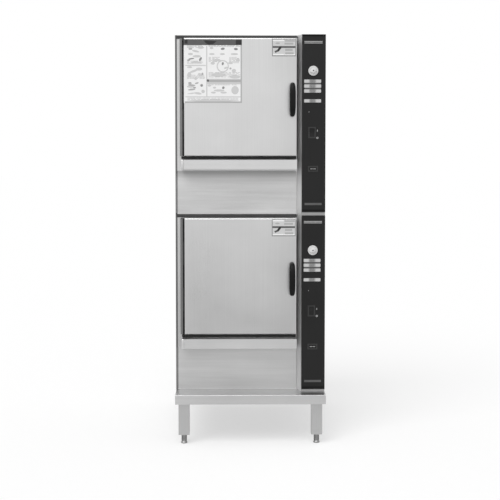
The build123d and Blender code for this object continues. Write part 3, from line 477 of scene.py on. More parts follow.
# Louvres. Each slot in the sides and the rear has a hood pressed inwards over it, which
# keeps water out and lets the warm air of the drive and the base compartment leave.
SHEET = 0.0015
SLOT_PITCH = 0.020
ROWS = 8
HOOD_DEEP = 0.0048
HOOD_HIGH = 0.0105
HOOD_SHEET = 0.0009
SIDE_LOUVRE = {"y": 0.205, "apart": 0.065, "height": 0.125, "slot": 0.100}
REAR_LOUVRE = {"x": 0.150, "apart": 0.055, "height": 0.560, "slot": 0.090}


def closed_sheet(name, outer, inner):
    """Two grids of points, one behind the other, closed along their edges."""
    shape = bmesh.new()
    grids = [[[shape.verts.new(point) for point in row] for row in grid] for grid in (outer, inner)]
    outer, inner = grids
    last, end = len(outer) - 1, len(outer[0]) - 1
    for i in range(last):
        for j in range(end):
            for grid in grids:
                shape.faces.new((grid[i][j], grid[i + 1][j], grid[i + 1][j + 1], grid[i][j + 1]))
        for j in (0, end):
            shape.faces.new((outer[i][j], inner[i][j], inner[i + 1][j], outer[i + 1][j]))
    for i in (0, last):
        for j in range(end):
            shape.faces.new((outer[i][j], outer[i][j + 1], inner[i][j + 1], inner[i][j]))
    return to_mesh(name, shape)


def hood(length):
    """An eyebrow of sheet, open along its lower edge and closed at both ends."""
    layers = []
    for thick, proud in ((0.0, 0.0003), (HOOD_SHEET, 0.0)):
        grid = []
        for along in [step / 7 - 1 for step in range(15)]:
            ends = max(0.0, 1 - abs(along) ** 7) ** 0.5
            y = along * (length / 2 + 0.002 - thick)
            grid.append([(y, (HOOD_DEEP - thick) * ends * (1 - up ** 2) ** 0.5 + proud,
                          (up - 0.4) * HOOD_HIGH) for up in (0, 0.25, 0.5, 0.75, 1)])
        layers.append(grid)
    return closed_sheet("hood", *layers)


def slots_of(base, louvre):
    """How far to the side each slot is from the louvre's middle, and its height."""
    return [(column * louvre["apart"], base + louvre["height"] + (row - (ROWS - 1) / 2) * SLOT_PITCH)
            for column in (-1, 1) for row in range(ROWS)]


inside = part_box("lower_side_panels")[1].x - SHEET
places = [((side * inside, SIDE_LOUVRE["y"] + off, z), (0, 0, side * math.pi / 2))
          for base in unit_base.values() for side in (-1, 1) for off, z in slots_of(base, SIDE_LOUVRE)]
copies("side_louvre_hoods", hood(SIDE_LOUVRE["slot"]), places, side_finish, "cabinet")
rear_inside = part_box("lower_rear_panel")[1].y - SHEET
places = [((REAR_LOUVRE["x"] + off, rear_inside, z), (0, 0, math.pi))
          for base in unit_base.values() for off, z in slots_of(base, REAR_LOUVRE)]
copies("rear_louvre_hoods", hood(REAR_LOUVRE["slot"]), places, side_finish, "cabinet")


# Rear screws. Plated pan-headed screws with a cross recess hold each rear panel to the side
# returns, five down each edge, and each stops at its own angle when it is tight.
def carve(mesh, cutter):
    """Cuts one closed mesh out of another."""
    worker = bpy.data.objects.new("worker", mesh)
    tool = bpy.data.objects.new("tool", cutter)
    for piece in (worker, tool):
        bpy.context.collection.objects.link(piece)
    cut = worker.modifiers.new("cut", "BOOLEAN")
    cut.operation = "DIFFERENCE"
    cut.solver = "EXACT"
    cut.object = tool
    graph = bpy.context.evaluated_depsgraph_get()
    carved = bpy.data.meshes.new_from_object(worker.evaluated_get(graph))
    bpy.data.objects.remove(worker)
    bpy.data.objects.remove(tool)
    return carved


def screw(head, shank, length):
    """A pan-headed screw along +Z with its head's seat at 0 and a cross recess."""
    profile = [(0, -length), (shank - 0.0004, -length)]
    height = -length
    while height < -0.0014:
        profile += [(shank, height + 0.0005), (shank - 0.0004, height + 0.0010)]
        height += 0.0010
    dome = [(head, 0), (head, 0.0007)]
    dome += [(head * math.cos(a), 0.0007 + 0.0018 * math.sin(a)) for a in (0.5, 0.9, 1.2)]
    shape = bmesh.new()
    lathe(shape, profile + dome + [(0, 0.0025)], steps=24)
    cross = bmesh.new()
    arm, wide = head * 0.62, head * 0.12
    block(cross, (-arm, -wide, 0.0010), (arm, wide, 0.0050))
    block(cross, (-wide, -arm, 0.0010), (wide, arm, 0.0050))
    return carve(to_mesh("screw", shape), to_mesh("cross", cross))


screw_finish = make_material("screw_steel", mottled(300, 2.0, 0.40, 0.58, 0.24, 0.2))
BACKWARDS = -math.pi / 2
low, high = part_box("panel_screws")
SCREW_X = high.x - 0.0045
SEAT_Y = high.y - 0.0026
rng = random.Random(11)
places = [((side * SCREW_X, SEAT_Y, base + height), (BACKWARDS, rng.uniform(0, math.pi), 0))
          for base in unit_base.values() for side in (-1, 1)
          for height in (0.040, 0.200, 0.366, 0.530, 0.690)]
copies("rear_panel_screws", screw(0.0045, 0.0020, 0.0090), places, screw_finish,
       "cabinet", 30, replaced=("panel_screws",))

# Front frames. Folded stainless round the mouth of each cavity. A strip with a dark rubber
# finish on the frame's head above the door is painted shade: it stands for the shade in that recess.
dress(brushed_steel("frame_steel", 0.64, "z", 0.30), *both("front_frame"))
FRAME_FACE = -0.3100
black_rubber = mottled(14, 4.0, 0.010, 0.022, 0.62, 0.2, (2600, 0.25, 0.0003), 0.0, 0.3)
rubber = make_material("black_rubber", black_rubber)
head_shade_finish = make_material("head_shade_strip", lambda place: {
    **black_rubber(place), "Base Color": noise(place, 20).mix(0.045, 0.070)})
for unit in unit_base:
    door_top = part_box(unit + "_door_skin")[1]
    frame_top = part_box(unit + "_front_frame")[1]
    head_shade = one_block("head_shade_strip", (-0.3040, FRAME_FACE - 0.0075, door_top.z + 0.0015),
                     (door_top.x + 0.0025, FRAME_FACE, frame_top.z - 0.0012), 0.0016, 3)
    settle(unit + "_head_seal", head_shade, "cabinet", head_shade_finish)

# Service panels. A flat stainless cover under each door, over the base compartment, brushed
# like the doors and rippled a little by its spot welds. The ripples' light and dark are also painted into
# the colour.
# The painted shadow hangs below UNDER_TRAY, and the painted shade at the foot rises from PANEL_FOOT.
UNDER_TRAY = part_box("upper_drip_tray")[0].z
PANEL_FOOT = unit_base["lower"]


def panel_shade(place):
    """Painted shade on the folded left edge and at the lower foot, a painted shadow under the
    upper tray, and the upper cabinet's panel a little lighter overall.
    """
    x, _, z = across(place)
    edge = 1.0 - (1.0 - rise(x, -0.3005, -0.2970)) * 0.62
    upper = rise(z, JOINT - 0.001, JOINT + 0.001)
    tray_shadow = rise(z, UNDER_TRAY - 0.036, UNDER_TRAY - 0.012) * 0.32
    foot = (1.0 - rise(z, PANEL_FOOT + 0.010, PANEL_FOOT + 0.085)) * 0.10
    return edge * (upper * 0.06 + 1.0) * (1.0 - tray_shadow) * (1.0 - foot)


dress(brushed_steel("panel_steel", 0.58, "x", 0.50, panel_shade, 2.0), "service_panels")


# Steam cavities. Deep-drawn liners of bright stainless, dulled by steam, inside a blanket
# of mineral wool.
def cavity_steel(place):
    bloom = noise(place, (7, 7, 9), 4.0)
    streak = noise(place, (60, 60, 3))
    return {
        "Base Color": (bloom * 0.6 + streak * 0.4).mix(0.42, 0.66),
        "Metallic": 1.0,
        "Roughness": 0.30 + bloom * 0.22,
        "Normal": dented(place, bloom + streak * 0.2, 0.25, 0.0015),
    }


def mineral_wool(place):
    strand = noise(place, (900, 160, 900), 5.0)
    tuft = noise(place, 60, 4.0)
    return {
        "Base Color": (strand * 0.5 + tuft * 0.5).mix((0.30, 0.27, 0.19, 1), (0.58, 0.54, 0.42, 1)),
        "Roughness": 0.95,
        "Specular IOR Level": 0.1,
        "Normal": dented(place, strand + tuft, 0.9, 0.002),
    }


dress(make_material("cavity_steel", cavity_steel), *both("steam_cavity"), *both("door_liner"))
dress(make_material("mineral_wool", mineral_wool), "cavity_insulation", *both("door_insulation"))

# Strainers. A slotted stainless dome dropped over the drain in each cavity's floor, so that
# scraps of food stay out of the pipe.
DRAIN_X = -0.150
CAVITY_FLOOR = 0.2681
dome = bmesh.new()
lathe(dome, [(0, 0), (0.0235, 0), (0.0240, 0.0005), (0.0240, 0.0012), (0.0215, 0.0030),
             (0.0150, 0.0041), (0, 0.0046)], steps=48)
slots = bmesh.new()
for angle in turns(10):
    place = Matrix.Rotation(angle, 4, "Z") @ Matrix.Translation((0.0128, 0, 0))
    place = place @ Matrix.Diagonal((0.0116, 0.0026, 0.02, 1))
    bmesh.ops.create_cube(slots, size=1.0, matrix=place)
dome = carve(to_mesh("dome", dome), to_mesh("slots", slots))
places = [((DRAIN_X, 0.220, base + CAVITY_FLOOR), (0, 0, 0)) for base in unit_base.values()]
copies("cavity_strainers", dome, places, brushed_steel("strainer_steel", 0.56, "x", 0.34),
       "cabinet")

# Fan baffles. A stainless plate between the cavity and the blower wheel, slotted round its
# rim and held by six screws.
dress(brushed_steel("baffle_steel", 0.60, "z", 0.30), "fan_baffles")
BAFFLE_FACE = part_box("fan_baffles")[0].x + 0.0037
rng = random.Random(43)
places = [((BAFFLE_FACE, y, base + height), (rng.uniform(0, math.pi), -math.pi / 2, 0))
          for base in unit_base.values() for y in (-0.2955, 0.2540)
          for height in (0.2830, 0.4790, 0.6760)]
copies("baffle_screws", screw(0.0042, 0.0018, 0.0030), places, screw_finish,
       "cabinet", 30)

# Blower wheels. Plated sheet on the motor's shaft: a back plate, and a ring of blades that are
# riveted to a front ring.
wheel_finish = make_material("wheel_steel", plated_steel)
dress(wheel_finish, *both("blower_wheel"))
BLADES = 24
RIVET = [(0, -0.0010), (0.0016, -0.0010), (0.0022, 0), (0.0021, 0.0006), (0.0014, 0.0011), (0, 0.0013)]
for unit in unit_base:
    low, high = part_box(unit + "_blower_wheel")
    hub = (low + high) / 2
    reach = (high.y - low.y) / 2 - 0.0060
    rivet = bmesh.new()
    lathe(rivet, RIVET, steps=10)
    places = [((low.x, hub.y + reach * math.cos(a), hub.z + reach * math.sin(a)), (0, -math.pi / 2, 0))
              for a in turns(BLADES, math.pi / BLADES)]
    copies(unit + "_wheel_rivets", to_mesh("rivet", rivet), places, wheel_finish,
           unit + "_blower_wheel")

# Blower motors. Cast bodies painted dark grey, with cooling fins along them, each held by a
# square plate outside its cavity.
motor_paint = mottled(25, 4.0, 0.055, 0.095, 0.42, 0.2, (500, 0.2, 0.0004), 0.0)
motor_finish = make_material("motor_paint", motor_paint)
dress(motor_finish, "blower_motors")
low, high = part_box("blower_motors")
MOTOR_X, MOTOR_Y, MOTOR_Z = 0.2530, (low.y + high.y) / 2, 0.479
MOTOR_ROUND = 0.0428
fin = one_block("fin", (-0.0260, -0.0010, -0.0012), (0.0260, 0.0010, 0.0030), 0.0006, 1)
places = [((MOTOR_X, MOTOR_Y + MOTOR_ROUND * math.sin(a), base + MOTOR_Z + MOTOR_ROUND * math.cos(a)),
           (-a, 0, 0)) for base in unit_base.values() for a in turns(28)]
copies("motor_fins", fin, places, motor_finish, "cabinet")


# Bolts. Plated hexagon heads on washers hold each motor's plate at its corners, and each
# generator's element flange in a ring of six.
def hex_bolt(flats, high, washer=0.0009):
    """A hexagon head along +Z on its washer, seated at 0, with a bevelled crown."""
    corner = flats / 2 / math.cos(math.pi / 6)
    shape = bmesh.new()
    lathe(shape, [(0, 0), (flats * 0.72, 0), (flats * 0.72, washer), (0, washer)], steps=24)
    lathe(shape, [(0, 0.0008), (corner, 0.0008), (corner, high - 0.0010), (corner * 0.86, high),
                  (0, high)], steps=6)
    return to_mesh("bolt", shape)


PLATE_X, PLATE_BOLT = 0.2165, 0.0465
FLANGE_X, FLANGE_Y, FLANGE_Z = 0.1180, -0.010, 0.120
FLANGE_BOLT = 0.0420
places = []
for base in unit_base.values():
    for a in (-1, 1):
        for b in (-1, 1):
            spot = (PLATE_X, MOTOR_Y + a * PLATE_BOLT, base + MOTOR_Z + b * PLATE_BOLT)
            places.append((spot, (0, math.pi / 2, 0)))
    for angle in turns(6, math.radians(30)):
        spot = (FLANGE_X, FLANGE_Y + FLANGE_BOLT * math.cos(angle),
                base + FLANGE_Z + FLANGE_BOLT * math.sin(angle))
        places.append((spot, (angle, math.pi / 2, 0)))
copies("motor_and_flange_bolts", hex_bolt(0.0080, 0.0052), places, screw_finish,
       "cabinet", 30)

# Steam generators. Closed tanks welded from stainless sheet, with a flanged element in one
# end, and the pipes, inlet valves and cable glands that serve them.
dress(brushed_steel("tank_steel", 0.55, "x", 0.36), "steam_generators")
low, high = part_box("steam_generators")
LID_SEAM = 0.158
corners = [(low.x, low.y), (high.x, low.y), (high.x, high.y), (low.x, high.y)]
loops = [[(x, y, base + LID_SEAM) for x, y in corners] for base in unit_base.values()]
weld("tank_weld_beads", loops, 0.0032, 0.0060)
pipe_finish = make_material("pipe_steel", plated_steel)
dress(pipe_finish, "plumbing_pipes", "heating_elements")
brass_finish = make_material("valve_brass", mottled(
    80, 4.0, (0.42, 0.30, 0.12, 1), (0.66, 0.50, 0.24, 1), 0.30, 0.25, (600, 0.2, 0.0004)))
dress(brass_finish, "water_inlet_valves")


# Spigots. Each water inlet carries a turned pipe thread behind the cabinet, and each drain
# spigot has rolled beads that hold a hose.
def swept(shape, path, section, root=0.0):
    """A closed ring with this section, standing off the plane y = root towards the back."""
    rings = []
    for x, z, away in path:
        rings.append([shape.verts.new((x + out * away[0], root + off, z + out * away[1]))
                      for out, off in section])
    count = len(section)
    for here, then in zip(rings, rings[1:] + rings[:1]):
        for i in range(count):
            j = (i + 1) % count
            shape.faces.new((here[i], here[j], then[j], then[i]))


def round_path(radius, steps, x=0.0, z=0.0):
    """Points round a circle, each with its way outwards."""
    return [(x + radius * math.cos(a), z + radius * math.sin(a), (math.cos(a), math.sin(a)))
            for a in turns(steps)]


low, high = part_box("water_inlet_valves")
THREAD_FROM = 0.4200
INLET_PITCH = 0.0018
INLET_X, INLET_Z, INLET_ROUND = 0.060, 0.085, 0.0130
DRAIN_Z, DRAIN_ROUND = 0.080, 0.0210
ridge = bmesh.new()
swept(ridge, round_path(INLET_ROUND, 20), [(-0.0006, -0.0007), (0.0006, 0), (-0.0006, 0.0007)])
places = []
for base in unit_base.values():
    y = THREAD_FROM
    while y < high.y - 0.0010:
        places.append(((INLET_X, y, base + INLET_Z), (0, 0, 0)))
        y += INLET_PITCH
copies("inlet_threads", to_mesh("ridge", ridge), places, brass_finish, "cabinet")
arc = [(0.0013 * math.cos(a) - 0.0002, 0.0024 * math.sin(a))
       for a in (-1.5, -1.0, -0.5, 0, 0.5, 1.0, 1.5)]
bead = bmesh.new()
swept(bead, round_path(DRAIN_ROUND, 40), arc + [(-0.0010, 0)])
places = [((DRAIN_X, y, base + DRAIN_Z), (0, 0, 0))
          for base in unit_base.values() for y in (0.4140, 0.4330)]
copies("drain_beads", to_mesh("bead", bead), places, pipe_finish, "cabinet")


# Glands and control parts. Grey plastic mouldings with a fine spark-eroded texture: the cable
# glands at the rear, and the timer, switch housings and board behind each fascia.
def moulded(dark, pale, gloss, shine=0.35):
    return mottled(22, 3.0, dark, pale, gloss, 0.12, (3200, 0.18, 0.0002), 0.0, shine)


grey_plastic = make_material("grey_plastic", moulded(0.026, 0.036, 0.50))
dress(grey_plastic, "supply_glands", "control_components")

# Pan racks. Flat stainless strip, spot-welded into ledges for the pans, hung on studs.
# The welder's electrode leaves a round dimple at every crossing.
rack_finish = brushed_steel("rack_steel", 0.62, "y", 0.26)
dress(rack_finish, *both("pan_racks"))
RACK_MIDDLE, RAIL_FACE = -0.040, 0.179
LEDGE, LEDGE_PITCH = 0.285, 0.073
nugget = bmesh.new()
lathe(nugget, [(0, -0.0003), (0.0024, -0.0003), (0.0024, 0.0001), (0.0017, 0.0004), (0.0009, 0.0002),
               (0, 0.0001)], steps=12)
nugget = to_mesh("nugget", nugget)
for unit, base in unit_base.items():
    places = [((RACK_MIDDLE + side * RAIL_FACE, y, base + LEDGE + LEDGE_PITCH * level + 0.0070),
               (0, -side * math.pi / 2, 0))
              for side in (-1, 1) for y in (-0.250, -0.020, 0.210) for level in range(5)]
    copies(unit + "_rack_welds", nugget, places, rack_finish, unit + "_pan_racks")


# Control housings and fascias. A folded stainless box beside the door, and on its front a
# black plastic fascia with soft-edged corners.
def housing_bevel_light(place):
    """Painted light: the bevel beside the door keeps the full tone, standing for the lighter
    reflection it shows, and the face under and round the fascia is darker.
    """
    x = across(place)[0]
    return 1.0 - rise(x, 0.2095, 0.2110) * (1.0 - rise(x, 0.3065, 0.3075)) * 0.55


dress(brushed_steel("housing_steel", 0.78, "z", 0.60, housing_bevel_light), *both("control_housing"))
fascia_finish = make_material("fascia_black", mottled(
    (9, 9, 6), 3.0, 0.008, 0.013, 0.42, 0.12, (2600, 0.12, 0.0002), 0.0, 0.24))
dress(fascia_finish, *both("control_fascia"))
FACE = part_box("lower_control_fascia")[0].y
LAP = 0.0035
for unit, base in unit_base.items():
    low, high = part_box(unit + "_control_fascia")
    back = high.y + 0.0002
    shape = bmesh.new()
    block(shape, (low.x, FACE, base + 0.0080), (high.x, back, low.z + LAP), 0.0005, 1)
    if unit == "upper":
        block(shape, (low.x, FACE, high.z - LAP), (high.x, back, high.z + 0.0044), 0.0005, 1)
    settle(unit + "_fascia_foot", to_mesh("foot", shape), "cabinet", fascia_finish)


# Legend strips. Four pale windows under the knob, each with a greyer printed middle and two
# rows of dashes.
def legend_pale(place):
    x = across(place)[0]
    middle = rise(x, 0.238, 0.246) * (1.0 - rise(x, 0.262, 0.272))
    cloud = noise(place, 160, 3.0)
    return {
        "Base Color": (middle * (0.75 + cloud * 0.4)).mix(0.56, 0.25),
        "Roughness": 0.35 + cloud * 0.1,
        "Specular IOR Level": 0.4,
    }


dress(make_material("legend_pale", legend_pale), "indicator_windows")
INK = 0.00012
WINDOW_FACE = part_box("indicator_windows")[0].y
dash = one_block("dash", (-0.0016, -INK, -0.0006), (0.0016, INK, 0.0006))
places = []
rng = random.Random(23)
for base in unit_base.values():
    for height in (0.543, 0.523, 0.503, 0.463):
        for row in (-0.0020, 0.0020):
            x = 0.2425 + rng.uniform(0, 0.0012)
            while x < 0.2665:
                places.append(((x, WINDOW_FACE, base + height + row), (0, 0, 0)))
                x += rng.choice((0.0036, 0.0040, 0.0048))
copies("legend_dashes", dash, places, make_material("legend_ink", moulded(0.09, 0.12, 0.55)),
       "cabinet", spread=0.35)


# Fascia marks. Printed in pale grey: plain stripes at the head, the on and off marks beside
# the power switch, and the small dot of a reset hole. A field behind the legend strips and
# the bar at the foot are dimmer.
def plate_of(shape, outline, front, back):
    """A flat closed plate with this outline in X and Z."""
    ends = [[shape.verts.new((x, y, z)) for x, z in outline] for y in (front, back)]
    for end in ends:
        shape.faces.new(end)
    count = len(outline)
    for i in range(count):
        j = (i + 1) % count
        shape.faces.new((ends[0][i], ends[0][j], ends[1][j], ends[1][i]))


def turned(points, x, z, degrees):
    """Flat points turned by so many degrees, then moved to x and z."""
    spin = math.radians(degrees)
    return [(x + a * math.cos(spin) - b * math.sin(spin),
             z + a * math.sin(spin) + b * math.cos(spin)) for a, b in points]


def oval(x, z, wide, tall, degrees=0.0):
    points = [(wide / 2 * math.cos(a), tall / 2 * math.sin(a)) for a in turns(20)]
    return turned(points, x, z, degrees)


def bar(x, z, wide, tall, degrees=0.0):
    return turned([(wide / 2 * a, tall / 2 * b) for a, b in SQUARE], x, z, degrees)


def ring_plate(shape, x, z, outer, inner, front, back):
    """A flat closed ring facing the front."""
    section = [(outer, front), (outer, back), (inner, back), (inner, front)]
    swept(shape, round_path(0.0, 28, x, z), section)


# This pale ink prints the fascia marks, and on the delime rockers it is a painted highlight.
ink_and_highlight_finish = make_material("pale_ink_and_highlight", mottled(400, 3.0, 0.34, 0.52, 0.5, 0, None, 0.0, 0.3))
dim_finish = make_material("dim_ink", moulded(0.075, 0.11, 0.5))
MARK_X, ON_MARK, OFF_MARK = 0.2746, 0.3421, 0.3128
for unit, base in unit_base.items():
    marks = bmesh.new()
    for outline in (bar(0.2575, base + 0.7035, 0.074, 0.0030), bar(0.2575, base + 0.6975, 0.074, 0.0030),
                    bar(MARK_X, base + ON_MARK, 0.0024, 0.0076),
                    oval(0.2400, base + 0.4180, 0.0030, 0.0030)):
        plate_of(marks, outline, FACE - INK, FACE + INK)
    ring_plate(marks, MARK_X, base + OFF_MARK, 0.0042, 0.0022, FACE - INK, FACE + INK)
    settle(unit + "_fascia_marks", to_mesh("marks", marks), "cabinet", ink_and_highlight_finish)
    fields = bmesh.new()
    for outline in (bar(0.2545, base + 0.5230, 0.0660, 0.0500), bar(0.2580, base + 0.0420, 0.0700, 0.0090)):
        plate_of(fields, outline, FACE - INK, FACE + INK)
    settle(unit + "_fascia_fields", to_mesh("fields", fields), "cabinet", dim_finish)

# Timer knobs. White moulded plastic on the timer's spindle, a ribbed skirt with a scale on
# it and a raised bar to grip, with a grey pointer let into the bar.
knob_finish = make_material("knob_white", moulded(0.66, 0.74, 0.34))
scale_finish = make_material("knob_scale", moulded(0.16, 0.20, 0.5))
GRIP_TURN = 15
SPINDLE = 0.0040
for unit in unit_base:
    node = unit + "_timer_knob"
    low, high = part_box(node)
    x, z = (low.x + high.x) / 2, (low.z + high.z) / 2
    radius = (high.x - low.x) / 2 - 0.0010
    front = low.y
    back = FACE - 0.0004
    skirt = back - 0.0050
    profile = [(0, -high.y), (SPINDLE, -high.y), (SPINDLE, -back), (radius - 0.0008, -back),
               (radius, -back + 0.0006), (radius, -skirt - 0.0016), (radius - 0.0004, -skirt - 0.0006),
               (radius - 0.0014, -skirt), (radius - 0.0060, -skirt - 0.0003),
               (0.0120, -skirt - 0.0010), (0.0098, -skirt - 0.0006), (0.0090, -skirt + 0.0004),
               (0.0086, -front - 0.0016), (0.0078, -front - 0.0005), (0.0066, -front), (0, -front)]
    shape = bmesh.new()
    lathe(shape, profile, Matrix.Translation((x, 0, z)) @ Matrix.Rotation(math.pi / 2, 4, "X"), 48)
    wing = []
    for end in (-1, 1):
        for step in range(9):
            a = math.pi * (step / 8 - 0.5) + (math.pi if end < 0 else 0)
            wing.append((end * 0.0100 + 0.0035 * math.cos(a), 0.0035 * math.sin(a)))
    plate_of(shape, turned(wing, x, z, GRIP_TURN), front + 0.0002, skirt + 0.0010)
    settle(unit + "_knob", to_mesh(node + "_body", shape), node, knob_finish, 32, (node,))

    def round_knob(reach, y, angles):
        return [((x + reach * math.cos(a), y, z + reach * math.sin(a)), (0, -a, 0)) for a in angles]

    rib = one_block("rib", (-0.0004, -0.0018, -0.0005), (0.0004, 0.0018, 0.0005), 0.0002, 1)
    places = round_knob(radius - 0.0003, (back + skirt) / 2, turns(44))
    copies(unit + "_knob_ribs", rib, places, knob_finish, node)
    tick = one_block("tick", (-0.0015, -0.00010, -0.00022), (0.0015, 0.00010, 0.00022))
    places = round_knob(radius - 0.0034, skirt + 0.00005, [math.radians(105 + 15 * n) for n in range(21)])
    copies(unit + "_knob_scale", tick, places, scale_finish, node)
    shape = bmesh.new()
    (over, up), = turned([(0.0075, 0)], x, z, GRIP_TURN)
    plate_of(shape, bar(over, up, 0.0100, 0.0012, GRIP_TURN), front + 0.0001, front + 0.0006)
    plate_of(shape, oval(x, z, 0.0064, 0.0064), front - 0.0001, front + 0.0004)
    settle(unit + "_knob_pointer", to_mesh("pointer", shape), node, scale_finish)

# Rockers. Black moulded plastic switches that rest tilted off. The second one has a pale line
# across each half of its face, a painted highlight of the light on it.
rocker_finish = make_material("rocker_black", moulded(0.003, 0.006, 0.34))
dress(rocker_finish, *both("power_rocker"), *both("delime_rocker"))
for unit in unit_base:
    node = unit + "_delime_rocker"
    low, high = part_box(node)
    wide = high.x - low.x
    shape = bmesh.new()
    for share in (0.32, 0.68):
        start = Vector((low.x + wide * share, low.y - 0.02, (low.z + high.z) / 2))
        spot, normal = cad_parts[node].ray_cast(start, Vector((0, 1, 0)))[1:3]
        tilt = Vector((0, -1, 0)).rotation_difference(normal).to_matrix().to_4x4()
        line = one_block("line", (-wide * 0.16, -0.0001, -0.0010), (wide * 0.16, 0.0001, 0.0010),
                         0.00004, 1)
        line.transform(Matrix.Translation(spot) @ tilt)
        shape.from_mesh(line)
    settle(unit + "_delime_line", to_mesh("line", shape), node, ink_and_highlight_finish)


# Doors. A stainless skin folded into a shallow pan and brushed upright, with rounded edges,
# closed by a liner that is screwed on. A roller catch on the frame holds it shut.
def door_right_darkening(place):
    """A little darker towards the door's right-hand edge, by the handle."""
    return 1.0 - rise(across(place)[0], 0.06, 0.17) * 0.085


dress(brushed_steel("door_steel", 0.655, "z", 0.30, door_right_darkening), *both("door_skin"))
CATCH_X, CATCH_Y = 0.1795, -0.3160
places = []
rng = random.Random(61)
for unit in unit_base:
    low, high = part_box(unit + "_door_handle")
    for up in (-0.0182, 0.0182):
        seat = (CATCH_X, CATCH_Y, (low.z + high.z) / 2 + up)
        places.append((seat, (math.pi / 2, rng.uniform(0, math.pi), 0)))
copies("catch_screws", screw(0.0030, 0.0014, 0.0040), places, screw_finish,
       "cabinet", 30)
GASKET_TOP = 0.697
for unit, base in unit_base.items():
    low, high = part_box(unit + "_door_skin")
    seats = [(x, base + height) for height in (0.262, 0.370, 0.478, 0.586, 0.694)
             for x in (low.x + 0.0110, high.x - 0.0110)]
    seats += [(x, (base + GASKET_TOP + high.z) / 2) for x in (-0.150, -0.040, 0.070)]
    places = [((x, high.y, z), (BACKWARDS, rng.uniform(0, math.pi), 0)) for x, z in seats]
    copies(unit + "_liner_screws", screw(0.0040, 0.0018, 0.0030), places, screw_finish,
           unit + "_door", 30)

# Door gaskets. A soft black rubber ring with a round bulb on a flat root, pressed round the
# liner's pad, and a finned skirt along the door's foot.
BULB, BULB_MIDDLE = 0.0047, 0.0070
bulb = [(BULB * math.cos(a), BULB_MIDDLE + BULB * math.sin(a))
        for a in [math.radians(222 - 264 * step / 14) for step in range(15)]]
foot = [(0.0080, 0), (0.0080, 0.0020), (0.0073, 0.0029), (0.0046, 0.0033)]
GASKET_SECTION = [(-out, off) for out, off in foot] + bulb + foot[::-1]
SKIRT_BACK = -0.3310


def ring_path(left, right, bottom, top, corner, steps=8):
    """Points round a rectangle with round corners, each with its way outwards."""
    path = []
    for x, z, start in ((right, top, 0), (left, top, 90), (left, bottom, 180), (right, bottom, 270)):
        centre_x = x + (-corner if x == right else corner)
        centre_z = z + (-corner if z == top else corner)
        for step in range(steps + 1):
            a = math.radians(start + 90 * step / steps)
            away = (math.cos(a), math.sin(a))
            path.append((centre_x + corner * away[0], centre_z + corner * away[1], away))
    return path


for unit, base in unit_base.items():
    node = unit + "_door_gasket"
    low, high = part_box(node)
    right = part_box(unit + "_door_skin")[1].x - 0.0010
    shape = bmesh.new()
    path = ring_path(-0.242, 0.160, base + 0.255, base + 0.689, 0.0100)
    swept(shape, path, GASKET_SECTION, high.y - BULB_MIDDLE - BULB)
    block(shape, (low.x, low.y, base + 0.2310), (right, SKIRT_BACK, base + 0.2370), 0.0010, 2)
    for y in (low.y + 0.0028, low.y + 0.0150, low.y + 0.0272):
        block(shape, (low.x, y - 0.0028, low.z), (right, y + 0.0028, base + 0.2330), 0.0012, 2)
    settle(unit + "_gasket", to_mesh("gasket", shape), unit + "_door", rubber, 40, (node,))


# Hinges. Rolled knuckles on a steel pin. Behind them a black strip runs along each door's hinged
# edge, with a short foot in the corner between door, skirt and tray; both are painted shade for that gap.
def hinge_gap_shade(place):
    """Painted shade in the gap between the knuckles and the door."""
    return 1.0 - rise(across(place)[0], -0.2762, -0.2752) * 0.72


# The hinge steel's dark tone, also on the frame's leaves and the catches, is a painted reflection.
hinge_finish = brushed_steel("hinge_steel", 0.20, "z", 0.36, hinge_gap_shade)
dress(hinge_finish, *both("door_hinge_leaf"), "frame_hinge_leaves", "door_catches")
for unit, base in unit_base.items():
    low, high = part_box(unit + "_door_hinge_leaf")
    shape = bmesh.new()
    block(shape, (-0.2748, -0.3560, low.z + 0.0005), (-0.2718, -0.3300, high.z - 0.0005), 0.0008, 2)
    block(shape, (-0.2810, -0.3610, base + 0.2262), (-0.2688, SKIRT_BACK, base + 0.2366), 0.0012, 2)
    settle(unit + "_hinge_wiper", to_mesh("gap_strip", shape), unit + "_door", rubber)


# Placard. A printed sheet on the upper door with a dark head and plain pictures of pans,
# dials and rows of dashes, divided by grey lines; the grey strips along its right and lower edges
# are painted shadow. It is stuck flat on the steel.
def paper(name, tone):
    return make_material(name, mottled(30, 4.0, tone * 0.94, tone * 1.04, 0.34, 0.12, None, 0.0, 0.4))


SHEET_THICK = 0.0004
LAYER = 0.00004
LAYER_STEPS = 60
TONES = {"light": 0.60, "grey": 0.42, "mid": 0.27, "dark": 0.095, "black": 0.018}
inks = {label: paper("print_" + label, tone) for label, tone in TONES.items()}
paper_finish = paper("placard_white", 0.86)
skin_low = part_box("upper_door_skin")[0]
FRONT = skin_low.y
PRINT = FRONT - SHEET_THICK


def print_shapes(name, body, shapes):
    """One thin printed layer for each ink. A shape is an ink and its outline or its ring, and
    each lies a hair in front of the one before it."""
    for order, label in enumerate(inks):
        shape = bmesh.new()
        outlines = [points for ink, points in shapes if ink == label]
        for count, points in enumerate(outlines):
            face = PRINT - INK - (order + count / LAYER_STEPS) * LAYER
            if points[0] == "ring":
                ring_plate(shape, *points[1:], face, PRINT + INK)
            else:
                plate_of(shape, points, face, PRINT + INK)
        if outlines:
            settle(name + "_" + label, to_mesh(name, shape), body, inks[label], 30)
        else:
            shape.free()


left, right = skin_low.x + 0.0040, -0.0340
top, bottom = 1.6492, 1.3912
wide, tall = right - left, top - bottom
HEAD = 0.0250
EDGE_RADIUS = 0.0040
WRAP = math.radians(72)


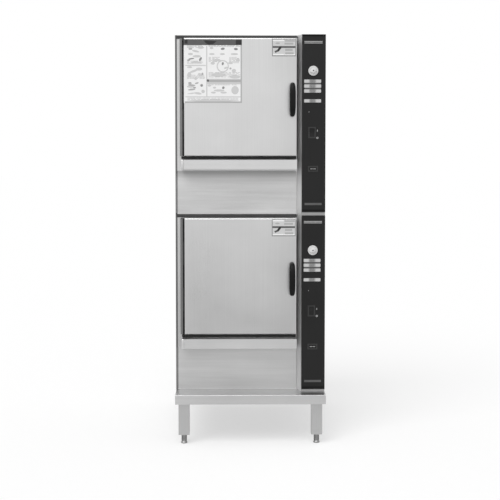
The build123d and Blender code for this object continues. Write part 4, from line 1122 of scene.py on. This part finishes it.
def wrapped(name, low, high):
    """A strip that follows the door's rounded edge from the flat round to its side."""
    layers = []
    for reach in (EDGE_RADIUS + SHEET_THICK, EDGE_RADIUS - 0.0001):
        layers.append([[(left - reach * math.sin(a), FRONT + EDGE_RADIUS - reach * math.cos(a), z)
                        for z in (low, high)] for a in [WRAP * step / 6 for step in range(7)]])
    return closed_sheet(name, *layers)


def stuck_sheet(name, body, low, high):
    """A sheet of paper on a door, from its lower left to its upper right corner."""
    sheet = one_block(name, (low[0], PRINT, low[1]), (high[0], FRONT + 0.0002, high[1]), 0.0001, 1)
    settle(name, sheet, body, paper_finish)


stuck_sheet("placard_sheet", "upper_door", (left, bottom), (right, top))
settle("placard_edge", wrapped("placard_edge", bottom, top - HEAD),
       "upper_door", paper_finish)
settle("placard_head_edge", wrapped("placard_head_edge", top - HEAD + 0.0004, top - 0.0010),
       "upper_door", inks["dark"])


def from_left(share):
    return left + wide * share


def from_top(share):
    return top - tall * share


shapes = [
    ("dark", bar(from_left(0.5), top - 0.0128, wide, 0.0236)),
    ("black", bar(from_left(0.025), top - 0.0110, 0.0120, 0.0150)),
    ("black", bar(from_left(0.945), top - 0.0130, 0.0240, 0.0180)),
    ("black", [(from_left(over), top - down) for over, down in (
        (0.33, 0.0050), (0.56, 0.0085), (0.50, 0.0200), (0.42, 0.0225), (0.37, 0.0170))]),
    # Painted shadow along the sheet's right and lower edges.
    ("grey", bar(right - 0.0026, from_top(0.53), 0.0052, tall * 0.92)),
    ("grey", bar(from_left(0.5), bottom + 0.0030, wide, 0.0060)),
    ("light", bar(from_left(0.385), from_top(0.51), 0.0046, tall * 0.80)),
    ("light", bar(from_left(0.5), from_top(0.905), wide * 0.98, 0.0040)),
    ("light", bar(from_left(0.19), from_top(0.413), wide * 0.36, 0.0046)),
    ("grey", bar(from_left(0.69), from_top(0.655), wide * 0.58, 0.0090)),
    ("light", bar(from_left(0.69), from_top(0.665), wide * 0.60, 0.0220)),
    ("dark", oval(from_left(0.405), from_top(0.650), 0.0095, 0.0095)),
]
# Each oval: its place in shares of the sheet, its size in millimetres and, for some, its turn in
# degrees.
OVALS = {
    "light": (
        (0.10, 0.130, 18, 12), (0.28, 0.135, 26, 9), (0.10, 0.235, 20, 10),
        (0.085, 0.440, 20, 8), (0.16, 0.500, 36, 9, 20), (0.19, 0.620, 11, 11),
        (0.14, 0.848, 46, 4.5, 6), (0.47, 0.140, 15, 9), (0.475, 0.235, 22, 8),
        (0.66, 0.235, 20, 8), (0.87, 0.235, 30, 8), (0.49, 0.378, 17, 12),
        (0.72, 0.450, 16, 8, 20), (0.86, 0.495, 17, 15), (0.43, 0.727, 15, 9),
        (0.52, 0.760, 13, 8), (0.50, 0.838, 20, 8), (0.68, 0.838, 26, 8),
        (0.88, 0.800, 30, 34), (0.50, 0.963, 190, 9), (0.08, 0.560, 16, 22),
        (0.27, 0.560, 20, 12, -30), (0.25, 0.470, 26, 12), (0.32, 0.820, 14, 14),
        (0.59, 0.560, 60, 16), (0.88, 0.590, 44, 14), (0.93, 0.330, 16, 14),
        (0.19, 0.190, 30, 8, -12), (0.21, 0.270, 34, 10), (0.20, 0.365, 44, 8),
        (0.10, 0.745, 30, 9), (0.23, 0.850, 30, 9, -8), (0.57, 0.335, 40, 7),
        (0.80, 0.375, 20, 9), (0.60, 0.805, 44, 9)),
    "grey": (
        (0.12, 0.722, 30, 7, -4), (0.12, 0.790, 30, 7, 6), (0.09, 0.690, 14, 9),
        (0.17, 0.760, 12, 7), (0.80, 0.460, 8, 8), (0.10, 0.155, 16, 7),
        (0.07, 0.330, 14, 6), (0.31, 0.545, 8, 10), (0.21, 0.690, 16, 6, 14)),
    "mid": (
        (0.115, 0.308, 24, 5.5, 8), (0.275, 0.313, 9, 17, -32), (0.295, 0.725, 11, 11),
        (0.665, 0.152, 16, 9.5, 6), (0.895, 0.156, 16, 9.5, -4), (0.665, 0.385, 8.5, 13, -10),
        (0.675, 0.762, 10, 11, -20)),
}
for ink, ovals in OVALS.items():
    for over, down, across_mm, up_mm, *spin in ovals:
        shapes.append((ink, oval(from_left(over), from_top(down), across_mm / 1000, up_mm / 1000, *spin)))
shapes.append(("light", ("ring", from_left(0.665), from_top(0.425), 0.0250, 0.0205)))
print_shapes("placard", "upper_door", shapes)

LINE_PITCH = 0.0044
line = one_block("line", (-0.0048, -INK, -0.0008), (0.0048, INK, 0.0008))
places = []
rng = random.Random(31)
for over, down, reach, rows in ((0.04, 0.10, 0.30, 3), (0.42, 0.10, 0.54, 2), (0.04, 0.345, 0.30, 3),
                                (0.04, 0.565, 0.30, 4), (0.42, 0.285, 0.20, 5), (0.78, 0.285, 0.17, 6),
                                (0.42, 0.525, 0.54, 5), (0.42, 0.700, 0.50, 2), (0.05, 0.925, 0.88, 3)):
    for row in range(rows):
        x = from_left(over) + 0.004
        while x < from_left(over + reach):
            places.append(((x, PRINT, from_top(down) - row * LINE_PITCH), (0, 0, 0)))
            x += rng.choice((0.0102, 0.0108, 0.0150))
copies("placard_lines", line, places, inks["grey"], "upper_door")

# Door plates. A small framed plate by each door's upper right corner, printed in plain fields
# on the same thin sheet as the placard and stuck flat on the steel.
for unit, base in unit_base.items():
    left, right = 0.0884, 0.1862
    bottom, top = base + 0.6430, base + 0.7140
    x, z = (left + right) / 2, (top + bottom) / 2
    waist = base + 0.6790
    wide, tall = right - left, top - bottom
    stuck_sheet(unit + "_plate_sheet", unit + "_door", (left, bottom), (right, top))
    print_shapes(unit + "_plate", unit + "_door", [
        ("mid", bar(x, top - 0.0018, wide, 0.0036)),
        ("mid", bar(x, bottom + 0.0021, wide, 0.0042)),
        ("mid", bar(left + 0.0018, z, 0.0036, tall - 0.0080)),
        ("mid", bar(right - 0.0016, z, 0.0032, tall - 0.0080)),
        ("dark", bar(x, waist + 0.0015, wide - 0.0060, 0.0076)),
        ("light", bar(x + 0.0010, z + 0.018, 0.0020, 0.028)),
        ("light", bar(x + 0.0010, z - 0.020, 0.0020, 0.026)),
        ("grey", oval(left + 0.0230, waist + 0.0165, 0.0190, 0.0070)),
        ("grey", bar(right - 0.0250, top - 0.0085, 0.0420, 0.0070)),
        ("grey", bar(right - 0.0290, top - 0.0200, 0.0360, 0.0080)),
        ("light", bar(x, z, wide - 0.0080, 0.0520)),
        ("grey", bar(right - 0.0290, waist - 0.0100, 0.0300, 0.0090)),
        ("grey", bar(right - 0.0270, waist - 0.0240, 0.0340, 0.0080)),
        ("black", bar(left + 0.0300, waist - 0.0060, 0.0190, 0.0090, 52)),
        ("dark", bar(left + 0.0200, waist - 0.0150, 0.0180, 0.0080, 24)),
    ])


# Handles. A bowed grip of black moulded plastic, wider in its middle, screwed on through the
# door from behind.
def bowed(angle, half, deep, power):
    """A point on a flattened arch: how far along the grip and how far off the door."""
    along = math.copysign(abs(math.cos(angle)) ** (2 / power), -math.cos(angle)) * half
    return along, math.sin(angle) ** (2 / power) * deep


def squarish(value):
    """Pushes the grip's section out towards a square."""
    return math.copysign(abs(value) ** 0.8, value)


def grip_mesh(low, high):
    middle = (low + high) / 2
    half = (high.z - low.z) / 2
    face, deep = high.y, high.y - low.y
    shape = bmesh.new()
    rings = []
    for step in range(49):
        angle = math.pi * step / 48
        far, out = bowed(angle, half, deep, 3.4)
        near, inside = bowed(angle, half - 0.022, deep - 0.015, 2.8)
        outer = Vector((0, face - out, middle.z + far))
        inner = Vector((0, face - inside, middle.z + near))
        centre, reach = (outer + inner) / 2, (outer - inner) / 2
        wide = 0.0095 + (high.x - low.x - 0.019) / 2 * math.sin(angle) ** 1.2
        rings.append([shape.verts.new(centre + reach * squarish(math.cos(a))
                                      + Vector((middle.x + wide * squarish(math.sin(a)), 0, 0)))
                      for a in turns(24)])
    for ring, after in zip(rings, rings[1:]):
        for turn in range(24):
            later = (turn + 1) % 24
            shape.faces.new((ring[turn], ring[later], after[later], after[turn]))
    shape.faces.new(rings[0])
    shape.faces.new(rings[-1])
    return to_mesh("grip", shape)


grip_finish = make_material("grip_black", moulded(0.003, 0.006, 0.40, 0.16))
for unit in unit_base:
    node = unit + "_door_handle"
    grip = grip_mesh(*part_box(node))
    settle(unit + "_grip", grip, unit + "_door", grip_finish, 50, (node,))

# Drip trays. A narrow stainless trough under each door that catches its condensate, its left
# end folded over.
tray_finish = brushed_steel("tray_steel", 0.66, "x", 0.36)
dress(tray_finish, *both("drip_tray"))
for unit in unit_base:
    low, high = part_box(unit + "_drip_tray")
    tray_end = one_block("tray_end", (low.x - 0.0100, low.y + 0.0004, low.z + 0.0004),
                         (low.x + 0.0002, high.y, high.z - 0.0002), 0.0022, 3)
    settle(unit + "_tray_end", tray_end, unit + "_drip_tray", tray_finish)
